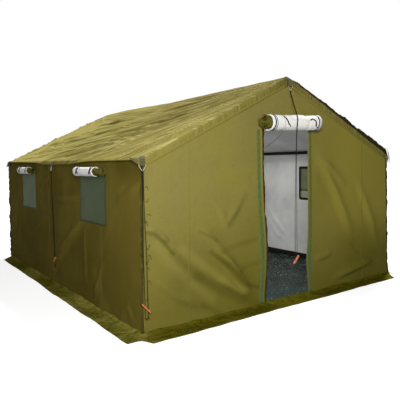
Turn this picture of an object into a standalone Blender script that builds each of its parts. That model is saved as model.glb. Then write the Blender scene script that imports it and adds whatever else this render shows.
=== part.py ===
"""Canvas wall tent: a steel tube frame dressed in canvas, with a hung lining,
rolled door and window flaps, and guy ropes on triangular rings.

Metres, +Z up. The front gable faces -Y, the ridge runs along Y, and the origin
is on the ground under the middle of the tent.
"""

import bpy
import bmesh
from math import atan2, ceil, cos, hypot, pi, radians, sin, tau
from mathutils import Vector

for old in list(bpy.data.objects):
    bpy.data.objects.remove(old)

# Tent, at the outer face of the canvas
tent_width = 4.0
tent_length = 5.25
eave_height = 1.77
ridge_height = 2.70
side_batter = 0.05
seat_gap = 0.0003

# Cloth
canvas_thickness = 0.002
lining_thickness = 0.0015
net_thickness = 0.001
groundsheet_thickness = 0.002
cloth_step = 0.27
sod_side_width = 0.22
sod_gable_width = 0.255
sod_underlap = 0.02
sod_ripple = 0.006
sod_past_corners = (0.06, -0.15, -0.15, -0.15)

# Roof edges
eave_flap_out = 0.045
eave_flap_drop = 0.045
eave_flap_wave = 0.013
eave_waves = 6
gable_band = 0.09
gable_band_corner_share = 0.5

# Folds
roof_step = 0.25
roof_fold = 0.016
roof_fold_reach = 0.30
roof_sag = 0.022
wall_fold = 0.018
wall_fold_reach = 0.33

# Door
door_width = 0.76
door_offset = -0.033
door_below_ridge = 0.60
door_roll_radius = 0.105
door_roll_length = 1.035
door_roll_offset = -0.0475
door_roll_lift = 0.075
door_roll_tie_spacing = 0.52

# Windows, two in each side wall
window_width = 0.76
window_height = 0.57
window_below_eave = 0.17
window_spacing = 2.70
window_roll_radius = 0.053
window_roll_length = 0.96
window_roll_lift = 0.035
window_roll_tie_spacing = 0.58
net_margin = 0.03

# Rolled cloth
roll_sides = 14
roll_step = 0.075
roll_lap = 0.008
roll_pinch = 0.009
roll_swell_share = 0.04

# Frame tubes and sockets
tube_diameter = 0.032
tube_wall = 0.0015
tube_sides = 10
socket_wall = 0.003
socket_reach = 0.105
socket_seat = 0.032
socket_lip = 0.0015
socket_lip_length = 0.012
portal_inset = 0.06
foot_diameter = 0.10
foot_thickness = 0.004

# Lining
lining_band_half_width = 1.55
lining_curve_below_eave = 0.11
lining_curve_steps = 4
lining_end_inset = 0.03
lining_hem_height = 0.02
lining_step = 0.6

# Guy points: a webbing strap holds a triangular ring
strap_width = 0.055
strap_thickness = 0.0025
strap_reach = 0.045
strap_drop = 0.065
strap_seat_on_flap = 0.017
strap_seat_below_ridge = 0.03
ring_wire = 0.005
ring_width = 0.085
ring_depth = 0.062
ring_corner_radius = 0.006
ring_play = 0.0006
corner_splay = radians(30)

# Guy ropes and their slides
rope_diameter = 0.006
rope_spread = 0.030
rope_close = 0.009
rope_knot = 0.016
rope_knot_length = 0.026
slide_length = 0.125
slide_width = 0.026
slide_thickness = 0.010
slide_tilt = radians(48)
slide_hole = 0.0076
slide_end_sides = 6

half_width = tent_width / 2
half_length = tent_length / 2
pitch = (ridge_height - eave_height) / half_width
pitch_angle = atan2(ridge_height - eave_height, half_width)
cloth_lap = canvas_thickness + seat_gap
ground_clear = canvas_thickness + seat_gap
edge_clear = 2 * canvas_thickness
door_head = ridge_height - door_below_ridge
door_roll_height = door_head + door_roll_lift
window_places = (-window_spacing / 2, window_spacing / 2)
window_head = eave_height - window_below_eave
window_sill = window_head - window_height
window_roll_height = window_head + window_roll_lift
lining_curve_start = eave_height - lining_curve_below_eave


def material(name, colour, roughness, metallic=0.0):
    made = bpy.data.materials.new(name)
    made.use_nodes = True
    shader = made.node_tree.nodes["Principled BSDF"]
    shader.inputs["Base Color"].default_value = (*colour, 1.0)
    shader.inputs["Roughness"].default_value = roughness
    shader.inputs["Metallic"].default_value = metallic
    return made


olive_canvas = material("olive_canvas", (0.24, 0.20, 0.06), 0.9)
white_lining = material("white_lining", (0.62, 0.62, 0.60), 0.85)
green_net = material("green_net", (0.06, 0.09, 0.05), 0.9)
floor_sheet = material("floor_sheet", (0.03, 0.06, 0.05), 0.35)
galvanised = material("galvanised_steel", (0.55, 0.56, 0.57), 0.4, 1.0)
ring_steel = material("ring_steel", (0.80, 0.79, 0.75), 0.3, 1.0)
olive_rope = material("olive_rope", (0.10, 0.09, 0.05), 0.9)
orange_slide = material("orange_slide", (0.62, 0.16, 0.05), 0.5)


# Building blocks
def stations(marks, step):
    """The marks, with even steps no longer than step between them."""
    places = [marks[0]]
    for low, high in zip(marks, marks[1:]):
        count = max(1, ceil(abs(high - low) / step))
        places += [low + (high - low) * i / count for i in range(1, count + 1)]
    return places


def add_object(name, bm, made_of, location=(0, 0, 0), parent=None, closed=True):
    mesh = bpy.data.meshes.new(name)
    if closed:
        bmesh.ops.recalc_face_normals(bm, faces=bm.faces)
    bm.to_mesh(mesh)
    bm.free()
    thing = bpy.data.objects.new(name, mesh)
    thing.data.materials.append(made_of)
    thing.location = location
    thing.parent = parent
    bpy.context.scene.collection.objects.link(thing)
    return thing


def smooth_sides(thing, angle=radians(35)):
    thing.data.shade_smooth()
    thing.data.set_sharp_from_angle(angle=angle)


def thickened(name, bm, thickness, made_of):
    """An open surface, thickened towards its back."""
    thing = add_object(name, bm, made_of, closed=False)
    thing.data.shade_smooth()
    wall = thing.modifiers.new("Thickness", "SOLIDIFY")
    wall.thickness = thickness
    wall.offset = -1
    wall.use_even_offset = True
    return thing


def sheet(name, columns, rows, point, thickness, made_of, is_hole=None):
    """Cloth: a grid of points on its outer face, thickened towards its back."""
    bm = bmesh.new()
    spots = {}

    def spot(i, j):
        if (i, j) not in spots:
            spots[i, j] = bm.verts.new(point(columns[i], rows[j]))
        return spots[i, j]

    for i in range(len(columns) - 1):
        for j in range(len(rows) - 1):
            middle = ((columns[i] + columns[i + 1]) / 2, (rows[j] + rows[j + 1]) / 2)
            if is_hole and is_hole(*middle):
                continue
            a, b, c, d = spot(i, j), spot(i + 1, j), spot(i + 1, j + 1), spot(i, j + 1)
            if (i + j) % 2:
                bm.faces.new((a, b, c))
                bm.faces.new((a, c, d))
            else:
                bm.faces.new((a, b, d))
                bm.faces.new((b, c, d))
    return thickened(name, bm, thickness, made_of)


def join_by(thing, tool, operation):
    """Unites thing with a tool, or cuts it by one, and puts the tool away."""
    cut = thing.modifiers.new(operation.title(), "BOOLEAN")
    cut.operation = operation
    cut.object = tool
    tool.hide_render = True
    tool.display_type = "WIRE"


def settle(thing, tools):
    """Keeps the evaluated shape and removes the tools that made it."""
    bpy.context.view_layer.update()
    graph = bpy.context.evaluated_depsgraph_get()
    mesh = bpy.data.meshes.new_from_object(thing.evaluated_get(graph))
    thing.modifiers.clear()
    thing.data = mesh
    for tool in tools:
        bpy.data.objects.remove(tool)


def turned(profile, sides, start, direction, phase=0):
    """A profile of (radius, distance) turned round the line from start."""
    bm = bmesh.new()
    lengthwise = abs(direction.y) > abs(direction.x) + abs(direction.z)
    guide = Vector((1, 0, 0)) if lengthwise else Vector((0, 1, 0))
    first = (guide - direction * guide.dot(direction)).normalized()
    second = direction.cross(first)
    loops = []
    for radius, distance in profile:
        ring = []
        for k in range(sides if radius else 1):
            angle = phase + tau * k / sides
            spoke = first * cos(angle) + second * sin(angle)
            ring.append(bm.verts.new(start + direction * distance + radius * spoke))
        loops.append(ring)
    closed = profile[0][0] != 0
    count = len(loops)
    for index in range(count if closed else count - 1):
        low, high = loops[index], loops[(index + 1) % count]
        for k in range(sides):
            corners = [low[k % len(low)], low[(k + 1) % len(low)]]
            corners += [high[(k + 1) % len(high)], high[k % len(high)]]
            bm.faces.new(list(dict.fromkeys(corners)))
    return bm


def crease(a, b, line, reach):
    """One on the line between two places, falling to nothing a reach away."""
    (a0, b0), (a1, b1) = line
    run = hypot(a1 - a0, b1 - b0)
    along = ((a - a0) * (a1 - a0) + (b - b0) * (b1 - b0)) / run ** 2
    held = min(max(along, 0), 1)
    away = hypot(a - a0 - held * (a1 - a0), b - b0 - held * (b1 - b0)) / reach
    return (1 - away ** 2) ** 2 if away < 1 else 0


def folds(a, b, line_shares, a_size, b_size, height, reach):
    """The summed height of folds whose lines are shares of two sizes."""
    total = 0
    for (a0, b0), (a1, b1), strength in line_shares:
        line = ((a0 * a_size, b0 * b_size), (a1 * a_size, b1 * b_size))
        total += strength * height * crease(a, b, line, reach)
    return total


# Where the canvas lies
def side_face(height):
    """Half width of the tent at a height, at the outer face of its side walls."""
    return half_width + side_batter * (1 - height / eave_height)


def rake_height(x):
    """Top edge of a gable wall."""
    return ridge_height - pitch * abs(x) - edge_clear


# Roof: its left half of fold lines, from the front peak towards the eave and the
# rear, as shares of half the width and of the length; the right half mirrors them
roof_fold_shares = (
    ((0.16, 0.05), (0.78, 0.42), 1.0),
    ((0.24, 0.05), (0.76, 0.15), 0.8),
    ((0.14, 0.16), (0.66, 0.74), 0.7),
    ((0.08, 0.24), (0.50, 0.92), 0.9),
    ((0.86, 0.24), (0.84, 0.58), 0.6),
    ((0.72, 0.66), (0.82, 0.90), 0.6),
)


def roof_rise(x, y):
    """Height of the roof's folds and sag over its flat slopes."""
    across = abs(x) / half_width
    along = (y + half_length) / tent_length
    if not 0 < across < 1 or not 0 < along < 1:
        return 0
    calm = sin(pi * across) * min(1, 3 * sin(pi * along))
    sag = -roof_sag * sin(pi * across) ** 2 * sin(tau * along) ** 2
    rise = folds(abs(x), y + half_length, roof_fold_shares, half_width,
                 tent_length, roof_fold, roof_fold_reach)
    return sag + calm * rise


def flap_wave(y):
    along = (y + half_length) / tent_length
    return -eave_flap_wave * sin(eave_waves * pi * along) ** 2 if 0 < along < 1 else 0


def roof_point(across, along):
    """across: x, past the eaves on the flap; along: y, past the gables on the band."""
    gable = half_length + cloth_lap
    x, y = across, max(-gable, min(gable, along))
    inner = max(-half_width, min(half_width, x))
    z = ridge_height - pitch * abs(inner) + roof_rise(inner, y)
    on_flap = abs(x) > half_width
    on_band = abs(along) > gable
    if on_flap:
        z = eave_height - eave_flap_drop + flap_wave(y)
    if on_band:
        z -= gable_band * (gable_band_corner_share if on_flap else 1)
    return x, y, z


def guy_points():
    """Each strap's seat on the canvas, and the way it points, as an angle."""
    eave_out = half_width + strap_seat_on_flap
    eave_z = eave_height - strap_seat_on_flap * eave_flap_drop / eave_flap_out
    gable = half_length + cloth_lap
    peak_z = ridge_height - strap_seat_below_ridge
    corner_turn = pi / 2 - corner_splay
    return {
        "front_left": ((-half_width, -gable, eave_height), pi + corner_turn),
        "front_right": ((half_width, -gable, eave_height), -corner_turn),
        "rear_left": ((-half_width, gable, eave_height), pi - corner_turn),
        "rear_right": ((half_width, gable, eave_height), corner_turn),
        "left": ((-eave_out, 0, eave_z), pi),
        "right": ((eave_out, 0, eave_z), 0),
        "ridge_front": ((0, -gable, peak_z), -pi / 2),
        "ridge_rear": ((0, gable, peak_z), pi / 2),
    }


def strap_body(name, seat, angle):
    """A webbing strap from its seat down and out, looped round the ring's bar."""
    out = Vector((cos(angle), sin(angle), 0))
    side = Vector((-sin(angle), cos(angle), 0))
    run = Vector((strap_reach, -strap_drop)).normalized()
    normal = Vector((-run.y, run.x))
    bar = Vector((strap_reach, -strap_drop))
    hole = ring_wire / 2 + ring_play
    loop = hole + strap_thickness
    arc_steps = 8
    start = run * canvas_thickness / 2
    outline = [start + normal * strap_thickness, start - normal * strap_thickness]
    first = atan2(-normal.y, -normal.x)
    outline += [bar + loop * Vector((cos(first + pi * k / arc_steps),
                                     sin(first + pi * k / arc_steps)))
                for k in range(arc_steps + 1)]
    eye = [bar + hole * Vector((cos(tau * k / 10), sin(tau * k / 10))) for k in range(10)]
    bm = bmesh.new()
    edges = []
    for loop_points in (outline, eye):
        spots = []
        for spot in loop_points:
            place = Vector(seat) + out * spot.x + Vector((0, 0, spot.y))
            spots.append(bm.verts.new(place - side * strap_width / 2))
        edges += [bm.edges.new((a, b)) for a, b in zip(spots, spots[1:] + spots[:1])]
    bmesh.ops.triangle_fill(bm, use_beauty=True, edges=edges)
    grown = bmesh.ops.extrude_face_region(bm, geom=bm.faces[:])
    moved = [g for g in grown["geom"] if isinstance(g, bmesh.types.BMVert)]
    bmesh.ops.translate(bm, vec=side * strap_width, verts=moved)
    return add_object(name, bm, olive_canvas)


def roof_canvas():
    flap = half_width + eave_flap_out
    gable = half_length + cloth_lap
    slopes = stations((-half_width, 0, half_width), roof_step)
    columns = [-flap] + slopes + [flap]
    rows = [-gable - gable_band] + stations((-gable, 0, gable), roof_step)
    rows += [gable + gable_band]
    roof = sheet("roof_canvas", columns, rows, roof_point, canvas_thickness, olive_canvas)
    straps = []
    for place, (seat, angle) in guy_points().items():
        strap = strap_body("strap_" + place, seat, angle)
        join_by(roof, strap, "UNION")
        straps.append(strap)
    settle(roof, straps)


# Gable walls: fold lines as shares of half the width and of the eave height
front_fold_shares = (
    ((-0.80, 0.66), (-0.42, 0.26), 1.0),
    ((-0.74, 0.36), (-0.45, 0.22), -0.9),
    ((-0.62, 0.84), (-0.50, 0.56), 0.5),
    ((0.46, 0.86), (0.70, 0.36), 0.9),
    ((0.50, 0.46), (0.76, 0.26), -0.7),
)
rear_fold_shares = (
    ((-0.72, 0.76), (-0.34, 0.26), 1.0),
    ((-0.20, 0.95), (0.10, 0.30), 0.7),
    ((0.36, 0.84), (0.70, 0.30), -0.9),
    ((-0.70, 0.36), (-0.45, 0.22), -0.6),
    ((0.25, 0.30), (0.60, 0.22), 0.8),
)


def gable_point(x_share, height_share, facing, knee, fold_shares):
    """x_share of the half width there; heights are straight within the knee."""
    x_top = x_share * half_width
    top = rake_height(x_top)
    knee_top = rake_height(knee)
    if abs(x_top) <= knee:
        head = door_head
        low = min(height_share, head / knee_top)
        spare = max(0, height_share - low) / (1 - head / knee_top)
        z = low * knee_top + spare * (top - head)
    else:
        z = height_share * top
    z = ground_clear + z * (top - ground_clear) / top
    x = x_top * side_face(min(z, eave_height)) / half_width
    bulge = folds(x_top, z, fold_shares, half_width, eave_height,
                  wall_fold, wall_fold_reach)
    return x, facing * (half_length + bulge), z


def gable_wall(name, facing, with_door, fold_shares):
    jambs = (door_offset - door_width / 2, door_offset + door_width / 2)
    knee = max(abs(jambs[0]), abs(jambs[1]))
    head_share = door_head / rake_height(knee)
    marks = (-1, jambs[0] / half_width, 0, jambs[1] / half_width, 1)
    columns = stations(marks, cloth_step / half_width)
    rows = stations((0, head_share, 1), cloth_step / rake_height(knee))
    if facing > 0:
        columns = columns[::-1]

    def is_door(x_share, height_share):
        return jambs[0] < x_share * half_width < jambs[1] and height_share < head_share

    sheet(name, columns, rows,
          lambda a, b: gable_point(a, b, facing, knee, fold_shares),
          canvas_thickness, olive_canvas, is_door if with_door else None)


# Side walls: fold lines as shares of half the length and of the eave height
side_fold_shares = (
    ((-0.81, 0.40), (-0.62, 0.20), 1.0),
    ((-0.42, 0.36), (-0.30, 0.20), 0.8),
    ((-0.83, 0.76), (-0.85, 0.56), 0.6),
    ((0.30, 0.35), (0.40, 0.20), -0.9),
    ((0.62, 0.36), (0.78, 0.22), 0.8),
)


def side_point(side, y, z, depth=0):
    """A place on a side wall, sunk by a depth square to the wall."""
    lean = atan2(side_batter, eave_height)
    bulge = folds(y, z, side_fold_shares, half_length, eave_height,
                  wall_fold, wall_fold_reach)
    return side * (side_face(z) + bulge - depth / cos(lean)), y, z


def in_window(y, z):
    across = min(abs(y - place) for place in window_places)
    return across < window_width / 2 and window_sill < z < window_head


def window_marks():
    return [place + edge for place in window_places
            for edge in (-window_width / 2, window_width / 2)]


def side_wall(name, side):
    end = half_length - canvas_thickness - seat_gap
    columns = stations([-end] + window_marks()[:2] + [0] + window_marks()[2:] + [end],
                       cloth_step)
    rows = stations([ground_clear, window_sill - 2 * net_margin, window_sill, window_head,
                     eave_height - edge_clear], cloth_step)
    if side < 0:
        columns = columns[::-1]
    sheet(name, columns, rows, lambda y, z: side_point(side, y, z),
          canvas_thickness, olive_canvas, in_window)


def window_net(name, side, place):
    half = window_width / 2 + net_margin
    columns = [place - half, place + half]
    rows = [window_sill - net_margin, window_head + net_margin]
    if side < 0:
        columns = columns[::-1]
    sheet(name, columns, rows,
          lambda y, z: side_point(side, y, z, canvas_thickness + seat_gap),
          net_thickness, green_net)


# Rolled flaps
def rolled_flap(name, length, radius, ties, place, made_of):
    """Cloth rolled along a wall, pinched at its ties; place(along, off the wall, up)."""
    steps = max(4, ceil(length / roll_step))
    loops = []
    for i in range(steps + 1):
        along = length * (i / steps - 0.5)
        pinch = sum(max(0, 1 - abs(along - tie) / roll_step) for tie in ties)
        swell = 1 - roll_swell_share * cos(tau * i / 5)
        loop = []
        for k in range(roll_sides):
            turn = k / (roll_sides - 1)
            angle = tau * turn - pi / 2
            size = (radius - roll_lap * (1 - turn)) * swell - roll_pinch * pinch
            loop.append((along, size * cos(angle), size * sin(angle)))
        loops.append(loop)
    back = min(off for loop in loops for along, off, up in loop)
    bm = bmesh.new()
    rings = [[bm.verts.new(place(along, off - back + seat_gap, up))
              for along, off, up in loop] for loop in loops]
    for low, high in zip(rings, rings[1:]):
        for k in range(roll_sides):
            nxt = (k + 1) % roll_sides
            bm.faces.new((low[k], low[nxt], high[nxt]))
            bm.faces.new((low[k], high[nxt], high[k]))
    bm.faces.new(rings[0])
    bm.faces.new(rings[-1])
    smooth_sides(add_object(name, bm, made_of))


def door_roll():
    half = door_roll_tie_spacing / 2
    rolled_flap("door_roll", door_roll_length, door_roll_radius,
                (-half - door_roll_offset, half - door_roll_offset),
                lambda along, off, up: (door_roll_offset + along, -half_length - off,
                                        door_roll_height + up), white_lining)


def window_roll(name, side, place):
    half = window_roll_tie_spacing / 2
    rolled_flap(name, window_roll_length, window_roll_radius, (-half, half),
                lambda along, off, up: (side * (side_face(window_roll_height) + off),
                                        place + along, window_roll_height + up),
                white_lining)


# Sod cloth and groundsheet
def sod_cloth():
    """A skirt on the ground round the walls, its strips cut off at the corners."""
    inner = Vector((side_face(0) - sod_underlap, half_length - sod_underlap))
    foot = Vector((side_face(0) + sod_underlap, half_length + sod_underlap))
    outer = Vector((side_face(0) + sod_side_width, half_length + sod_gable_width))
    corners = ((-1, -1), (1, -1), (1, 1), (-1, 1))
    per_side = 9
    bm = bmesh.new()
    loops = [[], [], []]
    for index, (ax, ay) in enumerate(corners):
        bx, by = corners[(index + 1) % 4]
        start, end = sod_past_corners[index], sod_past_corners[(index + 1) % 4]
        for loop, edge in zip(loops, (inner, foot)):
            for i in range(per_side):
                share = i / per_side
                loop.append(bm.verts.new((edge.x * (ax + (bx - ax) * share),
                                          edge.y * (ay + (by - ay) * share),
                                          canvas_thickness)))
        along_x = ay == by
        first = ((ax * (side_face(0) + start), ay * outer.y) if along_x
                 else (ax * outer.x, ay * (half_length + start)))
        last = ((bx * (side_face(0) + end), by * outer.y) if along_x
                else (bx * outer.x, by * (half_length + end)))
        for i in range(per_side + 1):
            share = i / per_side
            spot = Vector(first).lerp(Vector(last), share)
            lift = sod_ripple * sin(3 * pi * share) ** 2
            loops[2].append(bm.verts.new((*spot, canvas_thickness + lift)))
    count = len(corners) * per_side
    for k in range(count):
        nxt = (k + 1) % count
        at = k + k // per_side
        low, mid, out = loops
        bm.faces.new((low[k], mid[k], mid[nxt]))
        bm.faces.new((low[k], mid[nxt], low[nxt]))
        bm.faces.new((mid[k], out[at], out[at + 1]))
        bm.faces.new((mid[k], out[at + 1], mid[nxt]))
        if nxt % per_side == 0:
            bm.faces.new((mid[nxt], out[at + 1], out[(at + 2) % len(out)]))
    thickened("sod_cloth", bm, canvas_thickness, olive_canvas)


def ground_sheet():
    x = side_face(0) - sod_underlap - seat_gap
    y = half_length - sod_underlap - seat_gap
    sheet("groundsheet", [-x, x], [-y, y],
          lambda a, b: (a, b, groundsheet_thickness), groundsheet_thickness, floor_sheet)


# Frame: the tube axes lie one socket below the canvas
tube_radius = tube_diameter / 2
socket_bore = tube_radius + seat_gap
socket_radius = socket_bore + socket_wall
lip_radius = socket_radius + socket_lip
axis_depth = cloth_lap + lip_radius
leg_x = half_width - axis_depth
ridge_z = ridge_height - axis_depth / cos(pitch_angle)
eave_z = ridge_z - pitch * leg_x
portal_y = half_length - portal_inset
portals = {"front": -portal_y, "middle": 0, "rear": portal_y}
sides = {"left": -1, "right": 1}


def hollow_tube(name, start, end):
    bore = tube_radius - tube_wall
    run = end - start
    profile = ((tube_radius, 0), (tube_radius, run.length), (bore, run.length), (bore, 0))
    bm = turned(profile, tube_sides, start, run.normalized())
    smooth_sides(add_object(name, bm, galvanised))


def between_sockets(name, one, other):
    run = (other - one).normalized()
    inset = run * (socket_seat + seat_gap)
    hollow_tube(name, one + inset, other - inset)


def leg(name, x, y):
    base = groundsheet_thickness + seat_gap
    bore = tube_radius - tube_wall
    top = eave_z - socket_seat - seat_gap - base
    profile = ((0, 0), (foot_diameter / 2, 0), (foot_diameter / 2, foot_thickness),
               (tube_radius, foot_thickness), (tube_radius, top), (bore, top),
               (bore, foot_thickness), (0, foot_thickness))
    bm = turned(profile, tube_sides, Vector((x, y, base)), Vector((0, 0, 1)))
    smooth_sides(add_object(name, bm, galvanised))


def sleeve_profile(through):
    """A sleeve with a lip at its mouth, or at both mouths where it runs through."""
    plain = socket_reach - socket_lip_length
    mouth = ((socket_radius, plain), (lip_radius, plain), (lip_radius, socket_reach),
             (0, socket_reach))
    if through:
        return tuple((radius, -along) for radius, along in reversed(mouth)) + mouth
    return ((0, -socket_radius / 2), (socket_radius, -socket_radius / 2)) + mouth


def socket_joint(name, centre, ways, through=None):
    """Sockets that meet at a centre, each a sleeve with a lip and a blind bore."""
    tools = []
    sleeves = [(way, False) for way in ways] + ([(through, True)] if through else [])
    bores = list(ways) + ([through, -through] if through else [])
    for index, (way, runs_through) in enumerate(sleeves):
        phase = tau / tube_sides * (index + 1) / (len(sleeves) + 2)
        bm = turned(sleeve_profile(runs_through), tube_sides, centre, way, phase)
        tools.append(add_object(name if not tools else f"{name}_sleeve_{index}", bm,
                                galvanised))
    made, *others = tools
    for sleeve in others:
        join_by(made, sleeve, "UNION")
    for index, way in enumerate(bores):
        past = socket_reach + socket_wall
        bore = ((0, socket_seat), (socket_bore, socket_seat), (socket_bore, past), (0, past))
        drill = add_object(f"{name}_bore_{index}", turned(bore, tube_sides, centre, way),
                           galvanised)
        join_by(made, drill, "DIFFERENCE")
        others.append(drill)
    settle(made, others)
    smooth_sides(made)


def frame():
    fore, down = Vector((0, -1, 0)), Vector((0, 0, -1))
    falls = {side: Vector((sign, 0, -pitch)).normalized() for side, sign in sides.items()}
    for place, y in portals.items():
        ends = {"front": [-fore], "middle": [], "rear": [fore]}[place]
        through = None if ends else fore
        peak = Vector((0, y, ridge_z))
        socket_joint(f"ridge_socket_{place}", peak, list(falls.values()) + ends, through)
        for side, sign in sides.items():
            eave = Vector((sign * leg_x, y, eave_z))
            socket_joint(f"eave_socket_{place}_{side}", eave, [down, -falls[side]] + ends,
                         through)
            between_sockets(f"rafter_{place}_{side}", peak, eave)
            leg(f"leg_{place}_{side}", sign * leg_x, y)
    for bay, start, end in (("front", -portal_y, 0), ("rear", 0, portal_y)):
        between_sockets(f"ridge_pole_{bay}", Vector((0, start, ridge_z)),
                        Vector((0, end, ridge_z)))
        for side, sign in sides.items():
            between_sockets(f"eave_pole_{bay}_{side}",
                            Vector((sign * leg_x, start, eave_z)),
                            Vector((sign * leg_x, end, eave_z)))


# Lining: hung inside the frame, cutting the corner under each eave
def lining_section():
    """Outer face of the lining from its left hem over the ridge to its right hem."""
    wall_x = leg_x - lip_radius - seat_gap
    under = (2 * lip_radius + cloth_lap + seat_gap) / cos(pitch_angle)
    band_x = lining_band_half_width

    def slope(x):
        return ridge_height - under - pitch * x

    heights = stations((lining_hem_height, window_sill, window_head, lining_curve_start),
                       lining_step)
    half = [(wall_x, z) for z in heights]
    corner, end = (wall_x, slope(wall_x)), (band_x, slope(band_x))
    for k in range(1, lining_curve_steps + 1):
        t = k / lining_curve_steps
        x = (1 - t * t) * wall_x + t * t * end[0]
        z = ((1 - t) ** 2 * lining_curve_start + 2 * t * (1 - t) * corner[1] + t * t * end[1])
        half.append((x, z))
    half += [(x, slope(x)) for x in stations((band_x, 0), lining_step)[1:]]
    left = [(-x, z) for x, z in half]
    return left + half[-2::-1]


def inner_lining():
    section = lining_section()
    end = half_length - lining_end_inset
    marks = window_marks()
    rows = stations([-end, marks[0], marks[1], 0, marks[2], marks[3], end], lining_step)

    def is_window(across, y):
        x0, z0 = section[int(across)]
        x1, z1 = section[int(across) + 1]
        return abs(x1 - x0) < lining_thickness and in_window(y, (z0 + z1) / 2)

    sheet("inner_lining", list(range(len(section))), rows,
          lambda i, y: (section[i][0], y, section[i][1]),
          lining_thickness, white_lining, is_window)


# Rings, ropes and slides, in the frame of each ring's bar: X along the bar, -Y out
def hinge_frame(place):
    seat, angle = guy_points()[place]
    out = Vector((cos(angle), sin(angle), 0))
    frame_empty = bpy.data.objects.new("hinge_" + place, None)
    frame_empty.location = Vector(seat) + out * strap_reach - Vector((0, 0, strap_drop))
    frame_empty.rotation_euler = (0, 0, angle + pi / 2)
    bpy.context.scene.collection.objects.link(frame_empty)
    return frame_empty


def rounded_triangle():
    """Centre line of the ring's wire, from its bar down to its point."""
    half = (ring_width - ring_wire) / 2
    corners = [Vector((-half, 0, 0)), Vector((half, 0, 0)), Vector((0, 0, -ring_depth))]
    line = []
    for i, corner in enumerate(corners):
        before = (corners[i - 1] - corner).normalized()
        after = (corners[(i + 1) % 3] - corner).normalized()
        half_angle = before.angle(after) / 2
        inward = (before + after).normalized()
        centre = corner + inward * ring_corner_radius / sin(half_angle)
        start = corner + before * ring_corner_radius / (sin(half_angle) / cos(half_angle))
        stop = corner + after * ring_corner_radius / (sin(half_angle) / cos(half_angle))
        for k in range(5):
            spoke = (start - centre).lerp(stop - centre, k / 4).normalized()
            line.append(centre + spoke * ring_corner_radius)
    return line


def wire(name, points, radius, sides_detail, made_of, parent, cyclic, swell=None):
    line = bpy.data.curves.new(name, "CURVE")
    line.dimensions = "3D"
    line.bevel_depth = radius
    line.bevel_resolution = sides_detail
    line.use_fill_caps = not cyclic
    spline = line.splines.new("POLY")
    spline.points.add(len(points) - 1)
    for i, (spot, place) in enumerate(zip(spline.points, points)):
        spot.co = (*place, 1)
        spot.radius = swell[i] if swell else 1
    spline.use_cyclic_u = cyclic
    thing = bpy.data.objects.new(name, line)
    thing.data.materials.append(made_of)
    thing.parent = parent
    bpy.context.scene.collection.objects.link(thing)
    return thing


def smooth_route(points, per_span):
    """A smooth curve through the points, read at even shares of each span."""
    ends = [2 * points[0] - points[1]] + points + [2 * points[-1] - points[-2]]
    line = []
    for p0, p1, p2, p3 in zip(ends, ends[1:], ends[2:], ends[3:]):
        for k in range(per_span):
            t = k / per_span
            line.append(0.5 * (2 * p1 + (p2 - p0) * t + (2 * p0 - 5 * p1 + 4 * p2 - p3) * t ** 2
                               + (3 * p1 - p0 - 3 * p2 + p3) * t ** 3))
    return line + [points[-1]]


# Each rope's route below its ring: drop, sideways, out, and spread of its strands
corner_route = (
    (0.060, 0.000, 0.000, 0.009),
    (0.200, 0.000, 0.001, 0.010),
    (0.400, 0.000, 0.001, 0.014),
    (0.600, 0.000, 0.001, 0.022),
    (0.760, 0.000, 0.000, 0.030),
    (0.880, 0.000, 0.000, 0.030),
    (1.100, 0.000, 0.000, 0.030),
    (1.300, 0.000, 0.000, 0.030),
    (1.360, 0.000, 0.000, 0.030),
    (1.400, 0.000, 0.000, 0.030),
    (1.430, 0.000, 0.000, 0.030),
)
eave_route = (
    (0.060, 0.000, 0.000, 0.009),
    (0.200, 0.000, 0.001, 0.010),
    (0.380, 0.000, 0.001, 0.014),
    (0.540, 0.000, 0.001, 0.022),
    (0.680, 0.000, 0.000, 0.030),
    (0.800, 0.000, 0.000, 0.030),
    (1.000, 0.000, 0.000, 0.030),
    (1.200, 0.000, 0.000, 0.030),
    (1.280, 0.000, 0.000, 0.030),
    (1.320, 0.000, 0.000, 0.030),
    (1.350, 0.000, 0.000, 0.030),
)
ridge_route = (
    (0.050, -0.008, 0.028, 0.009),
    (0.150, -0.030, 0.084, 0.009),
    (0.240, -0.048, 0.135, 0.009),
    (0.295, -0.059, 0.165, 0.009),
    (0.341, -0.068, 0.177, 0.009),
    (0.400, -0.078, 0.180, 0.009),
    (0.500, -0.088, 0.180, 0.010),
    (0.700, -0.095, 0.180, 0.012),
    (1.000, -0.100, 0.180, 0.018),
    (1.300, -0.104, 0.180, 0.027),
    (1.440, -0.105, 0.180, 0.030),
    (1.600, -0.105, 0.180, 0.030),
    (1.800, -0.105, 0.180, 0.030),
    (1.960, -0.105, 0.180, 0.030),
    (2.020, -0.105, 0.180, 0.030),
    (2.060, -0.105, 0.180, 0.030),
)
slide_drops = {"corner": 1.335, "eave": 1.250, "ridge": 1.975}


def knot_seat():
    """Height of the rope's top end, just under the ring's point."""
    return min(spot.z for spot in rounded_triangle()) - ring_wire / 2 - seat_gap


def rope_line(route):
    """One rope: from the knot under the ring down, round its bight and back up."""
    knot_top = knot_seat()
    down = [Vector((0, 0, knot_top)), Vector((0, 0, knot_top - rope_knot_length / 2)),
            Vector((0, 0, knot_top - rope_knot_length))]
    up = [Vector((-rope_close, 0, knot_top - rope_knot_length - rope_diameter))]
    for drop, across, out, spread in route:
        middle = Vector((across, -out, knot_top - rope_knot_length - drop))
        down.append(middle + Vector((spread / 2, 0, 0)))
        up.append(middle - Vector((spread / 2, 0, 0)))
    low = (down[-1] + up[-1]) / 2
    bight = [low + Vector((cos(angle) * rope_spread / 2, 0, -sin(angle) * rope_spread / 2))
             for angle in (pi / 4, pi / 2, 3 * pi / 4)]
    return smooth_route(down + bight + up[::-1], 2)


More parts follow.
